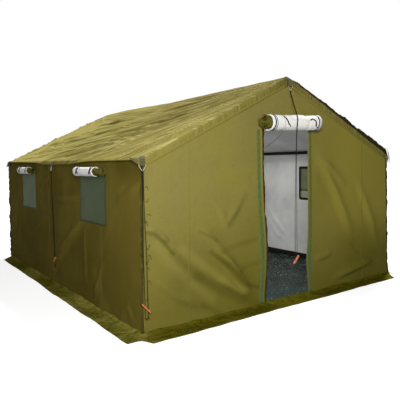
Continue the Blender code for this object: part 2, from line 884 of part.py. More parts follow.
def knot_swell(points):
    """The rope's knot: how much wider than the rope its first points are."""
    top = points[0].z
    swell = []
    for spot in points:
        share = (top - spot.z) / rope_knot_length
        near = spot.x > -rope_close / 2 and share < 1
        swell.append(1 + (rope_knot / rope_diameter - 1) * (sin(pi * share) if near else 0))
    return swell


def rope_slide(name, parent, centre):
    """A flat bar with rounded ends, hung aslant on the two strands."""
    bm = bmesh.new()
    half_run = (slide_length - slide_width) / 2
    outline = []
    for end in (1, -1):
        for k in range(slide_end_sides + 1):
            angle = -pi / 2 + pi * k / slide_end_sides
            outline.append((end * (half_run + cos(angle) * slide_width / 2),
                            end * sin(angle) * slide_width / 2))
    base = [bm.verts.new((x, y, -slide_thickness / 2)) for x, y in outline]
    face = bm.faces.new(base)
    grown = bmesh.ops.extrude_face_region(bm, geom=[face])
    moved = [g for g in grown["geom"] if isinstance(g, bmesh.types.BMVert)]
    bmesh.ops.translate(bm, vec=(0, 0, slide_thickness), verts=moved)
    bar = add_object(name, bm, orange_slide, centre, parent)
    bar.rotation_euler = (0, -slide_tilt, 0)
    drills = []
    for way in (-1, 1):
        start = centre + Vector((way * rope_spread / 2, 0, -slide_length / 2))
        profile = ((0, 0), (slide_hole / 2, 0), (slide_hole / 2, slide_length),
                   (0, slide_length))
        drill = add_object(f"{name}_drill_{way}", turned(profile, 8, start, Vector((0, 0, 1))),
                           orange_slide, (0, 0, 0), parent)
        join_by(bar, drill, "DIFFERENCE")
        drills.append(drill)
    settle(bar, drills)


def guy_hardware():
    ropes = {"front_left": ("corner", corner_route), "left": ("eave", eave_route),
             "ridge_front": ("ridge", ridge_route)}
    for place in guy_points():
        hinge = hinge_frame(place)
        wire("ring_" + place, rounded_triangle(), ring_wire / 2, 2, ring_steel, hinge, True)
        if place not in ropes:
            continue
        kind, route = ropes[place]
        points = rope_line(route)
        wire("guy_rope_" + place, points, rope_diameter / 2, 2, olive_rope, hinge, False,
             knot_swell(points))
        drop = slide_drops[kind]
        across, out = route[-1][1], route[-1][2]
        knot_foot = knot_seat() - rope_knot_length
        rope_slide("rope_slide_" + place, hinge, Vector((across, -out, knot_foot - drop)))


roof_canvas()
gable_wall("front_wall", -1, True, front_fold_shares)
gable_wall("rear_wall", 1, False, rear_fold_shares)
for side_name, side_sign in sides.items():
    side_wall(side_name + "_wall", side_sign)
    for window_name, window_place in zip(("front", "rear"), window_places):
        window_net(f"window_net_{side_name}_{window_name}", side_sign, window_place)
        window_roll(f"window_roll_{side_name}_{window_name}", side_sign, window_place)
door_roll()
sod_cloth()
ground_sheet()
inner_lining()
frame()
guy_hardware()
bpy.context.view_layer.update()
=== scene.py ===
"""Looks of the canvas wall tent: cloth with its folds, seams and hems, rolled flaps,
guy ropes with their hardware, the lining and groundsheet inside, and plain light.

Metres, +Z up. The front gable faces -Y and the ridge runs along Y.
"""

import bpy
import bmesh
from math import atan2, ceil, cos, degrees, exp, hypot, pi, radians, sin, tau
from mathutils import Matrix, Vector, noise


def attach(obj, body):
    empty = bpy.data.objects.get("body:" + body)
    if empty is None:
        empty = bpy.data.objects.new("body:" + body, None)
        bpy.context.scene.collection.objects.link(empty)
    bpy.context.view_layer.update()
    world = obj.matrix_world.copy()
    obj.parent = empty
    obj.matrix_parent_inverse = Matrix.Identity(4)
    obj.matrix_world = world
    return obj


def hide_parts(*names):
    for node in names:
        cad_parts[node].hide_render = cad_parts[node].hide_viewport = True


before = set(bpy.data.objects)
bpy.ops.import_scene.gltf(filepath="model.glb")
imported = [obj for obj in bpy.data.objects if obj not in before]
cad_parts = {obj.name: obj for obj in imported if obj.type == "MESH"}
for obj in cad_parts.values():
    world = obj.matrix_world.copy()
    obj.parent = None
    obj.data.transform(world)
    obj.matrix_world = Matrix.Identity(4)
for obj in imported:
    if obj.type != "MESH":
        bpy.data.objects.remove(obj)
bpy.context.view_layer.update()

scene = bpy.context.scene

# Camera, solved from the corners of the tent in the photograph
camera_place = (-4.221, -6.779, 1.735)
camera_yaw = radians(34.926)
camera_pitch = radians(-4.703)
camera_roll = radians(-1.161)
camera_lens = 42.885
camera_sensor = 36.0


def make_camera():
    ahead = Vector((sin(camera_yaw) * cos(camera_pitch), cos(camera_yaw) * cos(camera_pitch),
                    sin(camera_pitch)))
    level = Vector((cos(camera_yaw), -sin(camera_yaw), 0))
    upward = level.cross(ahead)
    right = level * cos(camera_roll) + upward * sin(camera_roll)
    top = upward * cos(camera_roll) - level * sin(camera_roll)
    lens = bpy.data.cameras.new("camera")
    lens.lens = camera_lens
    lens.sensor_width = camera_sensor
    lens.clip_end = 200
    eye = bpy.data.objects.new("camera", lens)
    eye.matrix_world = (Matrix.Translation(camera_place)
                        @ Matrix((right, top, -ahead)).transposed().to_4x4())
    scene.collection.objects.link(eye)
    scene.camera = eye


make_camera()

# Sizes of the tent that its cloth follows
tent_width = 4.0
tent_length = 5.25
eave_height = 1.77
ridge_height = 2.70
side_batter = 0.05
half_width = tent_width / 2
half_length = tent_length / 2
slope = (ridge_height - eave_height) / half_width
slope_angle = atan2(ridge_height - eave_height, half_width)
slope_run = hypot(half_width, ridge_height - eave_height)
canvas = 0.002
thin_canvas = 0.0014
gap = 0.0003
door_left = -0.413
door_right = 0.347
door_head = 2.10
door_roll_height = 2.175
window_places = (-1.35, 1.35)
window_half = 0.38
window_sill = 1.03
window_head = 1.60
window_roll_height = 1.635
window_edges = [spot + way * window_half for spot in window_places for way in (-1, 1)]
window_ends = tuple(zip(("front", "rear"), window_places))
sides = ((-1, "left"), (1, "right"))


# Building blocks
def stations(marks, step):
    """The marks, with even steps between them, no longer than step or each span's own."""
    steps = step if isinstance(step, tuple) else (step,) * (len(marks) - 1)
    places = [marks[0]]
    for low, high, longest in zip(marks, marks[1:], steps):
        count = max(1, ceil(abs(high - low) / longest - 1e-6))
        places += [low + (high - low) * i / count for i in range(1, count + 1)]
    return places


def smoothstep(low, high, value):
    t = min(max((value - low) / (high - low), 0), 1)
    return t * t * (3 - 2 * t)


def drift(*place):
    """Smooth noise at a place, about 0."""
    return noise.noise(Vector(place))


def link(name, data, node, materials, body="tent"):
    """A piece that stands for a node of the part and moves with a body."""
    thing = bpy.data.objects.new(name, data)
    scene.collection.objects.link(thing)
    for made_of in materials:
        thing.data.materials.append(made_of)
    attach(thing, body)
    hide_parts(node)
    return thing


def mesh_of(name, bm):
    mesh = bpy.data.meshes.new(name)
    bm.to_mesh(mesh)
    bm.free()
    return mesh


def grid_mesh(name, columns, rows, point, is_hole=None):
    """A grid of points with UVs in metres of cloth."""
    bm = bmesh.new()
    metres = bm.loops.layers.uv.new("cloth")
    spots = {}

    def spot(i, j):
        if (i, j) not in spots:
            spots[i, j] = bm.verts.new(point(columns[i], rows[j]))
        return spots[i, j]

    for i in range(len(columns) - 1):
        for j in range(len(rows) - 1):
            middle = ((columns[i] + columns[i + 1]) / 2, (rows[j] + rows[j + 1]) / 2)
            if is_hole and is_hole(*middle):
                continue
            corners = ((i, j), (i + 1, j), (i + 1, j + 1), (i, j + 1))
            face = bm.faces.new([spot(*corner) for corner in corners])
            face.smooth = True
            for loop, (a, b) in zip(face.loops, corners):
                loop[metres].uv = (columns[a], rows[b])
    return mesh_of(name, bm)


def cloth(name, node, columns, rows, point, materials, thickness=canvas,
          is_hole=None, flip=False):
    """A sheet on its outer face, thickened behind; a second material is its back."""
    mesh = grid_mesh(name, columns[::-1] if flip else columns, rows, point, is_hole)
    thing = link(name, mesh, node, materials)
    wall = thing.modifiers.new("Thickness", "SOLIDIFY")
    wall.thickness = thickness
    wall.offset = -1
    if len(materials) > 1:
        wall.material_offset = 1
    return thing


def ribbon(name, node, surface, path, width, lift, made_of, sunk=0.0004):
    """A sewn strip that follows a surface: surface(a, b) gives a point and its normal."""
    bm = bmesh.new()
    metres = bm.loops.layers.uv.new("cloth")
    across_shares = (-0.5, -0.42, 0.42, 0.5)
    lifts = (0, lift, lift, 0)
    rows = []
    run = 0
    last = None
    for k, (a, b) in enumerate(path):
        before, after = path[max(k - 1, 0)], path[min(k + 1, len(path) - 1)]
        spot, normal = surface(a, b)
        heading = surface(*after)[0] - surface(*before)[0]
        side = normal.cross(heading).normalized()
        if last is not None:
            run += (spot - last).length
        last = spot
        tops = [bm.verts.new(spot + side * width * share + normal * up)
                for share, up in zip(across_shares, lifts)]
        floor = [bm.verts.new(spot + side * width * share - normal * sunk)
                 for share in (0.5, -0.5)]
        rows.append((tops + floor, run))
    across = [width * (share + 0.5) for share in across_shares] + [width, 0]
    count = len(across)
    for (low, v0), (high, v1) in zip(rows, rows[1:]):
        for k in range(count):
            nxt = (k + 1) % count
            face = bm.faces.new((low[k], low[nxt], high[nxt], high[k]))
            face.smooth = True
            uvs = ((across[k], v0), (across[nxt], v0), (across[nxt], v1), (across[k], v1))
            for loop, uv in zip(face.loops, uvs):
                loop[metres].uv = uv
    bm.faces.new(rows[0][0][::-1])
    bm.faces.new(rows[-1][0])
    bmesh.ops.recalc_face_normals(bm, faces=bm.faces)
    return link(name, mesh_of(name, bm), node, [made_of])


def tube(name, node, points, radius, made_of, body="tent", cyclic=False, detail=4, swell=None):
    line = bpy.data.curves.new(name, "CURVE")
    line.dimensions = "3D"
    line.bevel_depth = radius
    line.bevel_resolution = detail
    line.use_fill_caps = not cyclic
    spline = line.splines.new("POLY")
    spline.points.add(len(points) - 1)
    for i, (spot, place) in enumerate(zip(spline.points, points)):
        spot.co = (*place, 1)
        spot.radius = swell[i] if swell else 1
    spline.use_cyclic_u = cyclic
    spline.use_smooth = True
    return link(name, line, node, [made_of], body)


def smooth_route(points, per_span):
    """A smooth curve through the points, read at even shares of each span."""
    ends = [2 * points[0] - points[1]] + points + [2 * points[-1] - points[-2]]
    line = []
    for p0, p1, p2, p3 in zip(ends, ends[1:], ends[2:], ends[3:]):
        for k in range(per_span):
            t = k / per_span
            line.append(0.5 * (2 * p1 + (p2 - p0) * t + (2 * p0 - 5 * p1 + 4 * p2 - p3) * t ** 2
                               + (3 * p1 - p0 - 3 * p2 + p3) * t ** 3))
    return line + [points[-1]]


# Materials
class Nodes:
    """Short names for the nodes that the materials use."""

    def __init__(self, owner):
        self.material = bpy.data.materials.new(owner) if isinstance(owner, str) else owner
        self.material.use_nodes = True
        self.tree = self.material.node_tree
        self.shader = self.tree.nodes.get("Principled BSDF")

    def add(self, kind, **settings):
        node = self.tree.nodes.new("ShaderNode" + kind)
        for key, value in settings.items():
            setattr(node, key, value)
        return node

    def wire(self, source, target):
        self.tree.links.new(source, target)

    def feed(self, socket, value):
        """Sets a socket to a number, a vector or a colour, or wires it."""
        if isinstance(value, tuple):
            socket.default_value = (*value, 1)[:len(socket.default_value)]
        elif isinstance(value, (int, float)):
            socket.default_value = value
        elif value is not None:
            self.wire(value, socket)

    def make(self, kind, output, inputs, **settings):
        """A node with its inputs fed, and one of its outputs."""
        node = self.add(kind, **settings)
        for key, value in inputs.items():
            self.feed(node.inputs[key], value)
        return node.outputs[output]

    def cloth_place(self):
        return self.make("UVMap", "UV", {}, uv_map="cloth")

    def object_place(self):
        return self.make("TexCoord", "Object", {})

    def stretched(self, place, scale):
        return self.make("Mapping", "Vector", {"Scale": scale, "Vector": place})

    def noise(self, place, scale, detail=3.0, rough=0.55):
        return self.make("TexNoise", "Fac", {"Scale": scale, "Detail": detail,
                                             "Roughness": rough, "Vector": place})

    def wave(self, place, scale, direction, distortion=0.0):
        return self.make("TexWave", "Fac", {"Scale": scale, "Distortion": distortion,
                                            "Detail": 2.0, "Detail Scale": 1.5,
                                            "Vector": place}, bands_direction=direction)

    def maths(self, operation, *values):
        return self.make("Math", "Value", dict(enumerate(values)), operation=operation)

    def plus(self, a, b):
        return self.maths("ADD", a, b)

    def minus(self, a, b):
        return self.maths("SUBTRACT", a, b)

    def times(self, a, b):
        return self.maths("MULTIPLY", a, b)

    def larger(self, a, b):
        return self.maths("MAXIMUM", a, b)

    def size(self, a):
        return self.maths("ABSOLUTE", a)

    def parts(self, place):
        made = self.add("SeparateXYZ")
        self.wire(place, made.inputs["Vector"])
        return tuple(made.outputs)

    def place_parts(self):
        return self.parts(self.object_place())

    def joined(self, *values):
        return self.make("CombineXYZ", "Vector", dict(enumerate(values)))

    def blend(self, share, one, other):
        return self.make("Mix", 0, {"Factor": share, 2: one, 3: other}, data_type="FLOAT")

    def ramp(self, value, low, high, to_low=0.0, to_high=1.0):
        return self.make("MapRange", "Result", {"From Min": low, "From Max": high,
                                                "To Min": to_low, "To Max": to_high,
                                                "Value": value},
                         interpolation_type="SMOOTHSTEP")

    def mix(self, share, one, other):
        return self.make("Mix", 2, {"Factor": share, 6: one, 7: other}, data_type="RGBA")

    def mottled(self, scale, colour, shade):
        """Two colours in soft patches, and the noise that parts them."""
        cloud = self.noise(self.object_place(), scale, 4, 0.6)
        return self.mix(self.ramp(cloud, 0.35, 0.7), colour, shade), cloud

    def bump(self, height, distance, strength=1.0, before=None):
        return self.make("Bump", "Normal", {"Strength": strength, "Distance": distance,
                                            "Height": height, "Normal": before})

    def stitches(self, place, middle, spacing, pitch=0.0065):
        """Two rows of stitches along a strip, from its cloth coordinates."""
        across, run, _ = self.parts(place)
        off = self.size(self.minus(self.size(self.minus(across, middle)), spacing / 2))
        line = self.ramp(off, 0.0005, 0.0012, 1.0, 0.0)
        beat = self.maths("FRACT", self.maths("DIVIDE", run, pitch))
        beat = self.size(self.minus(beat, 0.5))
        return self.times(line, self.ramp(beat, 0.26, 0.36, 1.0, 0.0))

    def finish(self, colour, roughness, normal=None, **settings):
        inputs = {"Base Color": colour, "Roughness": roughness, "Normal": normal}
        inputs.update({key.replace("_", " "): value for key, value in settings.items()})
        for key, value in inputs.items():
            self.feed(self.shader.inputs[key], value)
        return self.material

    def canvas_finish(self, colour, normal, shine=0.03):
        return self.finish(colour, 0.88, normal, Specular_IOR_Level=shine)


thread_pitch = 0.0011
lining_pitch = 0.0007
tape_pitch = 0.0016
webbing_pitch = 0.0024
net_pitch = 0.0016


def thread_scale(pitch):
    """The scale of a wave whose bands lie at a pitch."""
    return pi / (10 * pitch)


def weave(n, place, pitch=thread_pitch, unevenness=0.4):
    """Height of a plain weave, from two sets of threads."""
    scale = thread_scale(pitch)
    return n.larger(n.wave(place, scale, "X", unevenness), n.wave(place, scale, "Y", unevenness))


def front_painted_light(n):
    """Painted light: the front wall is palest high on its left, where most light falls."""
    across, _, up = n.place_parts()
    return n.ramp(n.minus(up, n.times(across, 0.8)), 0.7, 2.8)


def shaded_share(n):
    """Painted shade: the side walls are darkest away from the front and under the eaves."""
    _, along, up = n.place_parts()
    return n.larger(n.ramp(along, -2.6, -1.0, 0.0, 0.75), n.ramp(up, 1.40, 1.74))


def left_painted_light(n):
    """Painted light: the skirt is palest along the left wall, which lies in the tent's shadow."""
    return n.ramp(n.place_parts()[0], -2.10, -1.95, 1.0, 0.0)


def canvas_material(name, colour, faded, darkened, low_darkening=1.0, other=None, share=None):
    """Woven canvas: slubs along its threads, faded patches, and darker towards the bottom."""
    n = Nodes(name)
    place = n.cloth_place()
    if other:
        colour = n.mix(share(n), colour, other)
    slub_a = n.noise(n.stretched(place, (9, 160, 1)), 1.0, 4)
    slub_b = n.noise(n.stretched(place, (160, 9, 1)), 1.0, 4)
    slubs = n.times(n.plus(slub_a, slub_b), 0.5)
    patches = n.noise(n.object_place(), 1.1, 5, 0.6)
    fine = n.noise(n.object_place(), 14, 4, 0.6)
    worn = n.mix(n.ramp(patches, 0.40, 0.68), colour, faded)
    spotted = n.mix(n.ramp(fine, 0.52, 0.80, 0.0, 0.18), worn, darkened)
    uneven = n.plus(n.place_parts()[2], n.times(patches, 0.5))
    darker_low = n.mix(n.ramp(uneven, 0.2, 1.7, 0.6 * low_darkening, 0.0), spotted, darkened)
    tone = n.mix(n.ramp(slubs, 0.38, 0.62, 0.0, 0.12), darker_low, darkened)
    rise = n.plus(weave(n, place), n.times(slubs, 1.5))
    return n, tone, n.bump(rise, 0.0006, 0.6)


def plain_canvas(*settings):
    n, tone, rise = canvas_material(*settings)
    return n.canvas_finish(tone, rise)


def sewn_canvas(name, width, *settings):
    """Canvas of a seam or hem, with a row of stitches near each edge."""
    n, tone, rise = canvas_material(name, *settings)
    thread = n.stitches(n.cloth_place(), width / 2, width * 0.6)
    sewn = n.mix(thread, tone, (0.30, 0.27, 0.12))
    return n.canvas_finish(sewn, n.bump(thread, 0.0010, 0.8, rise))


def line_share(n, first, second, line, wide):
    """1 on a line along a wall, through its corners, and 0 at a width away from it."""
    whole = None
    for (a0, b0), (a1, b1) in zip(line, line[1:]):
        da, db = a1 - a0, b1 - b0
        a, b = n.minus(first, a0), n.minus(second, b0)
        on = n.plus(n.times(a, da / (da * da + db * db)), n.times(b, db / (da * da + db * db)))
        held = n.maths("MINIMUM", n.larger(on, 0.0), 1.0)
        a = n.minus(a, n.times(held, da))
        b = n.minus(b, n.times(held, db))
        off = n.maths("SQRT", n.plus(n.times(a, a), n.times(b, b)))
        near = n.ramp(off, 0.0, wide, 1.0, 0.0)
        whole = near if whole is None else n.larger(whole, near)
    return whole


seam_width = 0.014
hem_width = 0.024
front_tones = ((0.235, 0.200, 0.031), (0.262, 0.224, 0.046), (0.110, 0.097, 0.012))
# The side walls' tones are the front's canvas made darker: painted shade.
side_shaded_tones = ((0.186, 0.144, 0.023), (0.190, 0.149, 0.026), (0.085, 0.067, 0.009))
side_low_darkening = 0.6
# Painted shade and highlights along the front wall's folds; each mark: line, width, share and
# colour.
fold_painted_shade = (0.075, 0.068, 0.006)
fold_painted_highlight = (0.330, 0.285, 0.070)
front_painted_folds = (
    (((-1.87, 0.90), (-1.67, 0.66), (-1.41, 0.41), (-1.17, 0.22)), 0.11, 0.22, fold_painted_highlight),
    (((-1.56, 0.82), (-1.26, 0.58), (-0.98, 0.38), (-0.75, 0.24)), 0.09, 0.30, fold_painted_highlight),
    (((-1.97, 1.04), (-1.90, 1.02), (-1.79, 0.92), (-1.67, 0.78)), 0.035, 0.50, fold_painted_shade),
    (((-1.67, 0.78), (-1.51, 0.62), (-1.31, 0.47)), 0.08, 0.28, fold_painted_shade),
    (((-1.38, 0.50), (-1.09, 0.32), (-0.79, 0.14), (-0.52, 0.03)), 0.10, 0.42, fold_painted_shade),
    (((-1.19, 0.74), (-0.99, 0.58), (-0.86, 0.46), (-0.73, 0.31), (-0.50, 0.23)), 0.045, 0.50,
     fold_painted_shade),
    (((-1.33, 0.98), (-1.12, 0.86)), 0.035, 0.30, fold_painted_shade),
    (((-1.06, 0.73), (-0.76, 0.78), (-0.53, 0.81)), 0.06, 0.25, fold_painted_shade),
    (((-0.82, 0.46), (-0.68, 0.51), (-0.52, 0.52)), 0.05, 0.25, fold_painted_shade),
    (((-0.89, 1.02), (-0.77, 1.22), (-0.69, 1.33)), 0.07, 0.22, fold_painted_shade),
    (((-1.33, 0.18), (-1.05, 0.01)), 0.05, 0.35, fold_painted_shade),
)


def front_material():
    """The front wall's canvas: painted light high up on both sides of the doorway, painted shade
    low on its right, and painted shade and highlights along its folds.
    """
    # A paler tone high on the left: painted light.
    n, tone, rise = canvas_material("front_canvas", *front_tones, other=(0.240, 0.206, 0.057),
                                    share=front_painted_light)
    across, _, up = n.place_parts()
    # Painted light high on the right of the doorway, and painted shade low at the far right.
    high = n.times(n.ramp(across, 0.45, 1.2, 0.0, 0.85), n.ramp(up, 0.5, 1.1))
    low = n.times(n.ramp(across, 0.8, 1.4, 0.0, 0.35), n.ramp(up, 0.6, 0.3))
    tone = n.mix(low, n.mix(high, tone, (0.315, 0.266, 0.046)), (0.10, 0.088, 0.010))
    for line, wide, share, colour in front_painted_folds:
        tone = n.mix(n.times(line_share(n, across, up, line, wide), share), tone, colour)
    return n.canvas_finish(tone, rise)


# Painted highlights along the side walls' long folds: line, width and share.
side_painted_highlights = (
    (((-1.12, 1.08), (0.10, 0.22)), 0.12, 0.30),
    (((-2.20, 1.45), (-1.60, 0.70)), 0.10, 0.22),
    (((-0.10, 1.24), (-1.10, 1.30)), 0.06, 0.20),
    (((0.75, 1.30), (0.25, 1.55)), 0.06, 0.22),
    (((-1.40, 0.42), (-1.75, 0.05)), 0.16, 0.25),
)


def side_material():
    """The side walls' canvas, with painted highlights on its long folds."""
    # A darker tone away from the front and under the eaves: painted shade.
    n, tone, rise = canvas_material("side_canvas", *side_shaded_tones, side_low_darkening,
                                    other=(0.112, 0.086, 0.012), share=shaded_share)
    _, along, up = n.place_parts()
    for line, wide, share in side_painted_highlights:
        band = n.times(line_share(n, along, up, line, wide), share)
        tone = n.mix(band, tone, (0.245, 0.205, 0.036))
    return n.canvas_finish(tone, rise)


front_canvas = front_material()
side_canvas = side_material()
front_seam = sewn_canvas("front_seam", seam_width, *front_tones)
side_seam = sewn_canvas("side_seam", seam_width, *side_shaded_tones, side_low_darkening)
front_hem = sewn_canvas("front_hem", hem_width, *front_tones)


def sod_material():
    """The skirt's canvas, crumpled, with painted shade in its thin creases."""
    # A paler tone along the left wall: painted light.
    n, tone, rise = canvas_material(
        "sod_canvas", (0.112, 0.100, 0.0060), (0.155, 0.139, 0.012), (0.060, 0.053, 0.004), 0.3,
        other=(0.345, 0.315, 0.062), share=left_painted_light)
    place = n.object_place()
    broad = n.size(n.minus(n.noise(place, 4.5, 2, 0.6), 0.5))
    small = n.size(n.minus(n.noise(place, 19, 3, 0.6), 0.5))
    crease_shaded = n.mix(n.ramp(broad, 0.004, 0.022, 0.50, 0.0), tone, (0.030, 0.027, 0.004))
    fine_crease_shaded = n.mix(n.ramp(small, 0.004, 0.020, 0.22, 0.0), crease_shaded, (0.040, 0.035, 0.005))
    return n.canvas_finish(fine_crease_shaded, n.bump(small, 0.010, 0.6, n.bump(broad, 0.060, 0.9, rise)), 0.0)


sod_canvas = sod_material()
patch_canvas = plain_canvas("patch_canvas", (0.225, 0.205, 0.082), (0.255, 0.232, 0.10),
                            (0.15, 0.132, 0.05), 0.0)
# Dark canvas of the corner laps: painted shade.
lap_canvas = plain_canvas("lap_canvas", (0.050, 0.040, 0.010), (0.075, 0.060, 0.014),
                          (0.020, 0.016, 0.005), 0.0)
rolled_canvas = plain_canvas("rolled_canvas", (0.115, 0.105, 0.016), (0.16, 0.145, 0.026),
                             (0.045, 0.04, 0.008), 0.0)


def roof_material():
    """The roof's canvas: painted highlights and shade along its folds' streaks, painted shade near
    the front, painted light toward the rear, painted shade along the front right rake, and darker
    in ragged patches along the rear rake.
    """
    # The roof's canvas is paler than the walls': partly faded, partly painted light.
    n, tone, rise = canvas_material(
        "roof_canvas", (0.305, 0.258, 0.064), (0.355, 0.302, 0.082), (0.165, 0.137, 0.028), 0.0)
    across, along, up = n.place_parts()
    far = n.size(across)
    peaks = []
    for gable in (-1, 1):
        back = n.plus(n.times(along, -gable), 2.75)
        reach = n.maths("SQRT", n.plus(n.times(far, far), n.times(back, back)))
        bent = n.times(n.maths("ARCTAN2", far, back), n.plus(n.times(reach, 0.23), 1.0))
        fan = n.joined(n.times(bent, 34.0), n.times(reach, 1.3), across)
        peaks.append(n.noise(fan, 1.0, 3, 0.6))
    streak = n.blend(n.ramp(along, 1.3, 2.6, 1.0, 0.0), peaks[1], peaks[0])
    # Painted shade near the front and the ridge.
    near = n.times(n.ramp(along, 0.4, -1.6, 0.0, 0.5), n.ramp(far, 1.7, 0.9))
    tone = n.mix(near, tone, (0.205, 0.170, 0.042))
    # Painted light toward the rear.
    painted_light_rear = n.mix(n.ramp(along, -1.2, 2.2, 0.0, 0.90), tone, (0.54, 0.470, 0.124))
    # Painted highlights on the streaks' crests and painted shade in their hollows.
    streak_highlight = n.mix(n.ramp(streak, 0.51, 0.63, 0.0, 0.8), painted_light_rear, (0.50, 0.44, 0.165))
    dull = n.mix(n.ramp(streak, 0.48, 0.36, 0.0, 0.5), streak_highlight, (0.165, 0.136, 0.026))
    plain = n.mix(n.ramp(n.size(along), 2.612, 2.632), dull, (0.222, 0.188, 0.044))
    # Painted shade along the front right rake, where the cover rolls over its edge.
    ragged = n.noise(n.joined(n.times(across, 13.0), along, along), 1.0, 3, 0.6)
    top = n.plus(n.times(far, 0.018), ridge_height + 0.0544)
    under = n.minus(top, n.plus(up, n.times(far, slope)))
    thick = n.plus(n.plus(n.times(far, 0.026), 0.014), n.times(ragged, 0.045))
    hem = n.ramp(n.minus(under, thick), -0.008, 0.006, 0.96, 0.0)
    front = n.times(n.ramp(along, -2.48, -2.58), n.ramp(across, 0.0, 0.2))
    darkened = n.mix(n.times(hem, front), plain, (0.026, 0.022, 0.010))
    rear = n.times(n.ramp(along, 2.50, 2.60), n.ramp(ragged, 0.50, 0.60, 0.0, 0.6))
    darkened = n.mix(rear, darkened, (0.050, 0.045, 0.014))
    return n.canvas_finish(darkened, n.bump(streak, 0.032, 1.0, rise))


roof_canvas = roof_material()


def lining_material(name, colour, shade, painted_glow=0.0):
    n = Nodes(name)
    place = n.cloth_place()
    fine = n.noise(n.object_place(), 30, 4, 0.6)
    tone, _ = n.mottled(2.2, colour, shade)
    spotted = n.mix(n.ramp(fine, 0.5, 0.8, 0.0, 0.25), tone, shade)
    height = n.plus(weave(n, place, lining_pitch), n.times(fine, 2.0))
    return n.finish(spotted, 0.8, n.bump(height, 0.0005, 0.5), Sheen_Weight=0.1,
                    Specular_IOR_Level=0.3, Emission_Color=(1, 0.98, 0.94, 1),
                    Emission_Strength=painted_glow)


wall_lining = lining_material("wall_lining", (0.50, 0.50, 0.48), (0.40, 0.40, 0.39))
# The roof's lining is the walls' lining made darker: painted shade.
shaded_roof_lining = lining_material("shaded_roof_lining", (0.42, 0.42, 0.415), (0.34, 0.34, 0.335))
# The rolled lining glows a little: painted light.
roll_lining = lining_material("roll_lining", (0.93, 0.91, 0.87), (0.82, 0.80, 0.75), 0.07)


def tape_material(name, colour, shade):
    """Woven tape: ribs across it and a mottled colour."""
    n = Nodes(name)
    tone, cloud = n.mottled(45, colour, shade)
    height = n.plus(n.wave(n.cloth_place(), thread_scale(tape_pitch), "Y", 0.3), cloud)
    return n.finish(tone, 0.8, n.bump(height, 0.0006, 0.6), Specular_IOR_Level=0.08)


dark_tape = tape_material("dark_tape", (0.013, 0.012, 0.011), (0.007, 0.0065, 0.006))
green_tape = tape_material("green_tape", (0.050, 0.22, 0.10), (0.035, 0.15, 0.07))
olive_tape = tape_material("olive_tape", (0.175, 0.155, 0.030), (0.130, 0.116, 0.022))
blue_tape = tape_material("blue_tape", (0.014, 0.052, 0.075), (0.008, 0.030, 0.048))
teal_tape = tape_material("teal_tape", (0.035, 0.105, 0.105), (0.022, 0.070, 0.072))
net_tape = tape_material("net_tape", (0.062, 0.070, 0.026), (0.046, 0.054, 0.020))
# The dark brown of the strip inside the left jamb: painted shade.
jamb_shade_tape = tape_material("jamb_shade_tape", (0.062, 0.032, 0.014), (0.028, 0.015, 0.008))


def webbing_material():
    """Strap webbing: ribs along it, and dark rows where it is sewn across."""
    n = Nodes("webbing")
    place = n.cloth_place()
    run = n.parts(place)[1]
    tone, _ = n.mottled(60, (0.135, 0.122, 0.045), (0.095, 0.085, 0.030))
    beat = n.maths("FRACT", n.maths("DIVIDE", run, 0.019))
    row = n.ramp(n.size(n.minus(beat, 0.5)), 0.12, 0.24, 1.0, 0.0)
    sewn = n.mix(n.times(row, 0.85), tone, (0.040, 0.036, 0.012))
    ribs = n.wave(place, thread_scale(webbing_pitch), "X", 0.2)
    rise = n.bump(row, -0.0012, 0.8, n.bump(ribs, 0.0008, 0.7))
    return n.finish(sewn, 0.75, rise, Sheen_Weight=0.05, Specular_IOR_Level=0.15)


webbing = webbing_material()


def net_material(name, colour, shade):
    n = Nodes(name)
    threads = weave(n, n.cloth_place(), net_pitch, 0.0)
    tone, _ = n.mottled(3, colour, shade)
    return n.finish(tone, 0.7, n.bump(threads, 0.0005, 0.8), Alpha=0.86,
                    Specular_IOR_Level=0.3)


green_net = net_material("green_net", (0.060, 0.083, 0.030), (0.043, 0.062, 0.022))
# The lining's net and the strip at its foot are pale with painted light.
inner_net_painted_light = net_material("inner_net_painted_light", (0.150, 0.165, 0.085), (0.120, 0.133, 0.068))
net_painted_light_strip = net_material("net_painted_light_strip", (0.300, 0.330, 0.215), (0.250, 0.275, 0.180))


def coated_material():
    """Glossy coated floor cloth, crinkled all over."""
    n = Nodes("coated_floor")
    place = n.object_place()
    creases = n.noise(place, 11, 6, 0.65)
    fine = n.noise(place, 44, 5, 0.65)
    dust = n.noise(place, 3.5, 5, 0.65)
    tone = n.mix(n.ramp(dust, 0.42, 0.72), (0.007, 0.021, 0.015), (0.020, 0.044, 0.033))
    rough = n.ramp(dust, 0.35, 0.75, 0.14, 0.34)
    _, along, _ = n.parts(place)
    tone = n.mix(n.ramp(along, -2.65, -1.9, 0.8, 0.0), tone, (0.010, 0.062, 0.052))
    # Pale flecks: dust, and painted glints on the crinkles.
    glints = n.noise(n.stretched(place, (38, 22, 1)), 1.0, 2)
    dust_and_glints = n.times(n.ramp(glints, 0.60, 0.66), n.ramp(n.noise(place, 4, 3), 0.40, 0.58))
    tone = n.mix(dust_and_glints, tone, (0.55, 0.60, 0.57))
    rise = n.bump(fine, 0.012, 1.0, n.bump(creases, 0.06, 1.0))
    return n.finish(tone, rough, rise, Specular_IOR_Level=0.25)


coated_floor = coated_material()


def rope_material():
    n = Nodes("braided_rope")
    place = n.object_place()
    turns = n.wave(place, 14, "Z", 1.2)
    worn = n.noise(place, 60, 4, 0.6)
    tone = n.mix(n.ramp(turns, 0.2, 0.8), (0.009, 0.0065, 0.004), (0.022, 0.016, 0.009))
    tinted = n.mix(n.ramp(worn, 0.5, 0.8, 0.0, 0.4), tone, (0.050, 0.038, 0.022))
    return n.finish(tinted, 0.85, n.bump(turns, 0.0012, 0.8), Specular_IOR_Level=0.1)


braided_rope = rope_material()


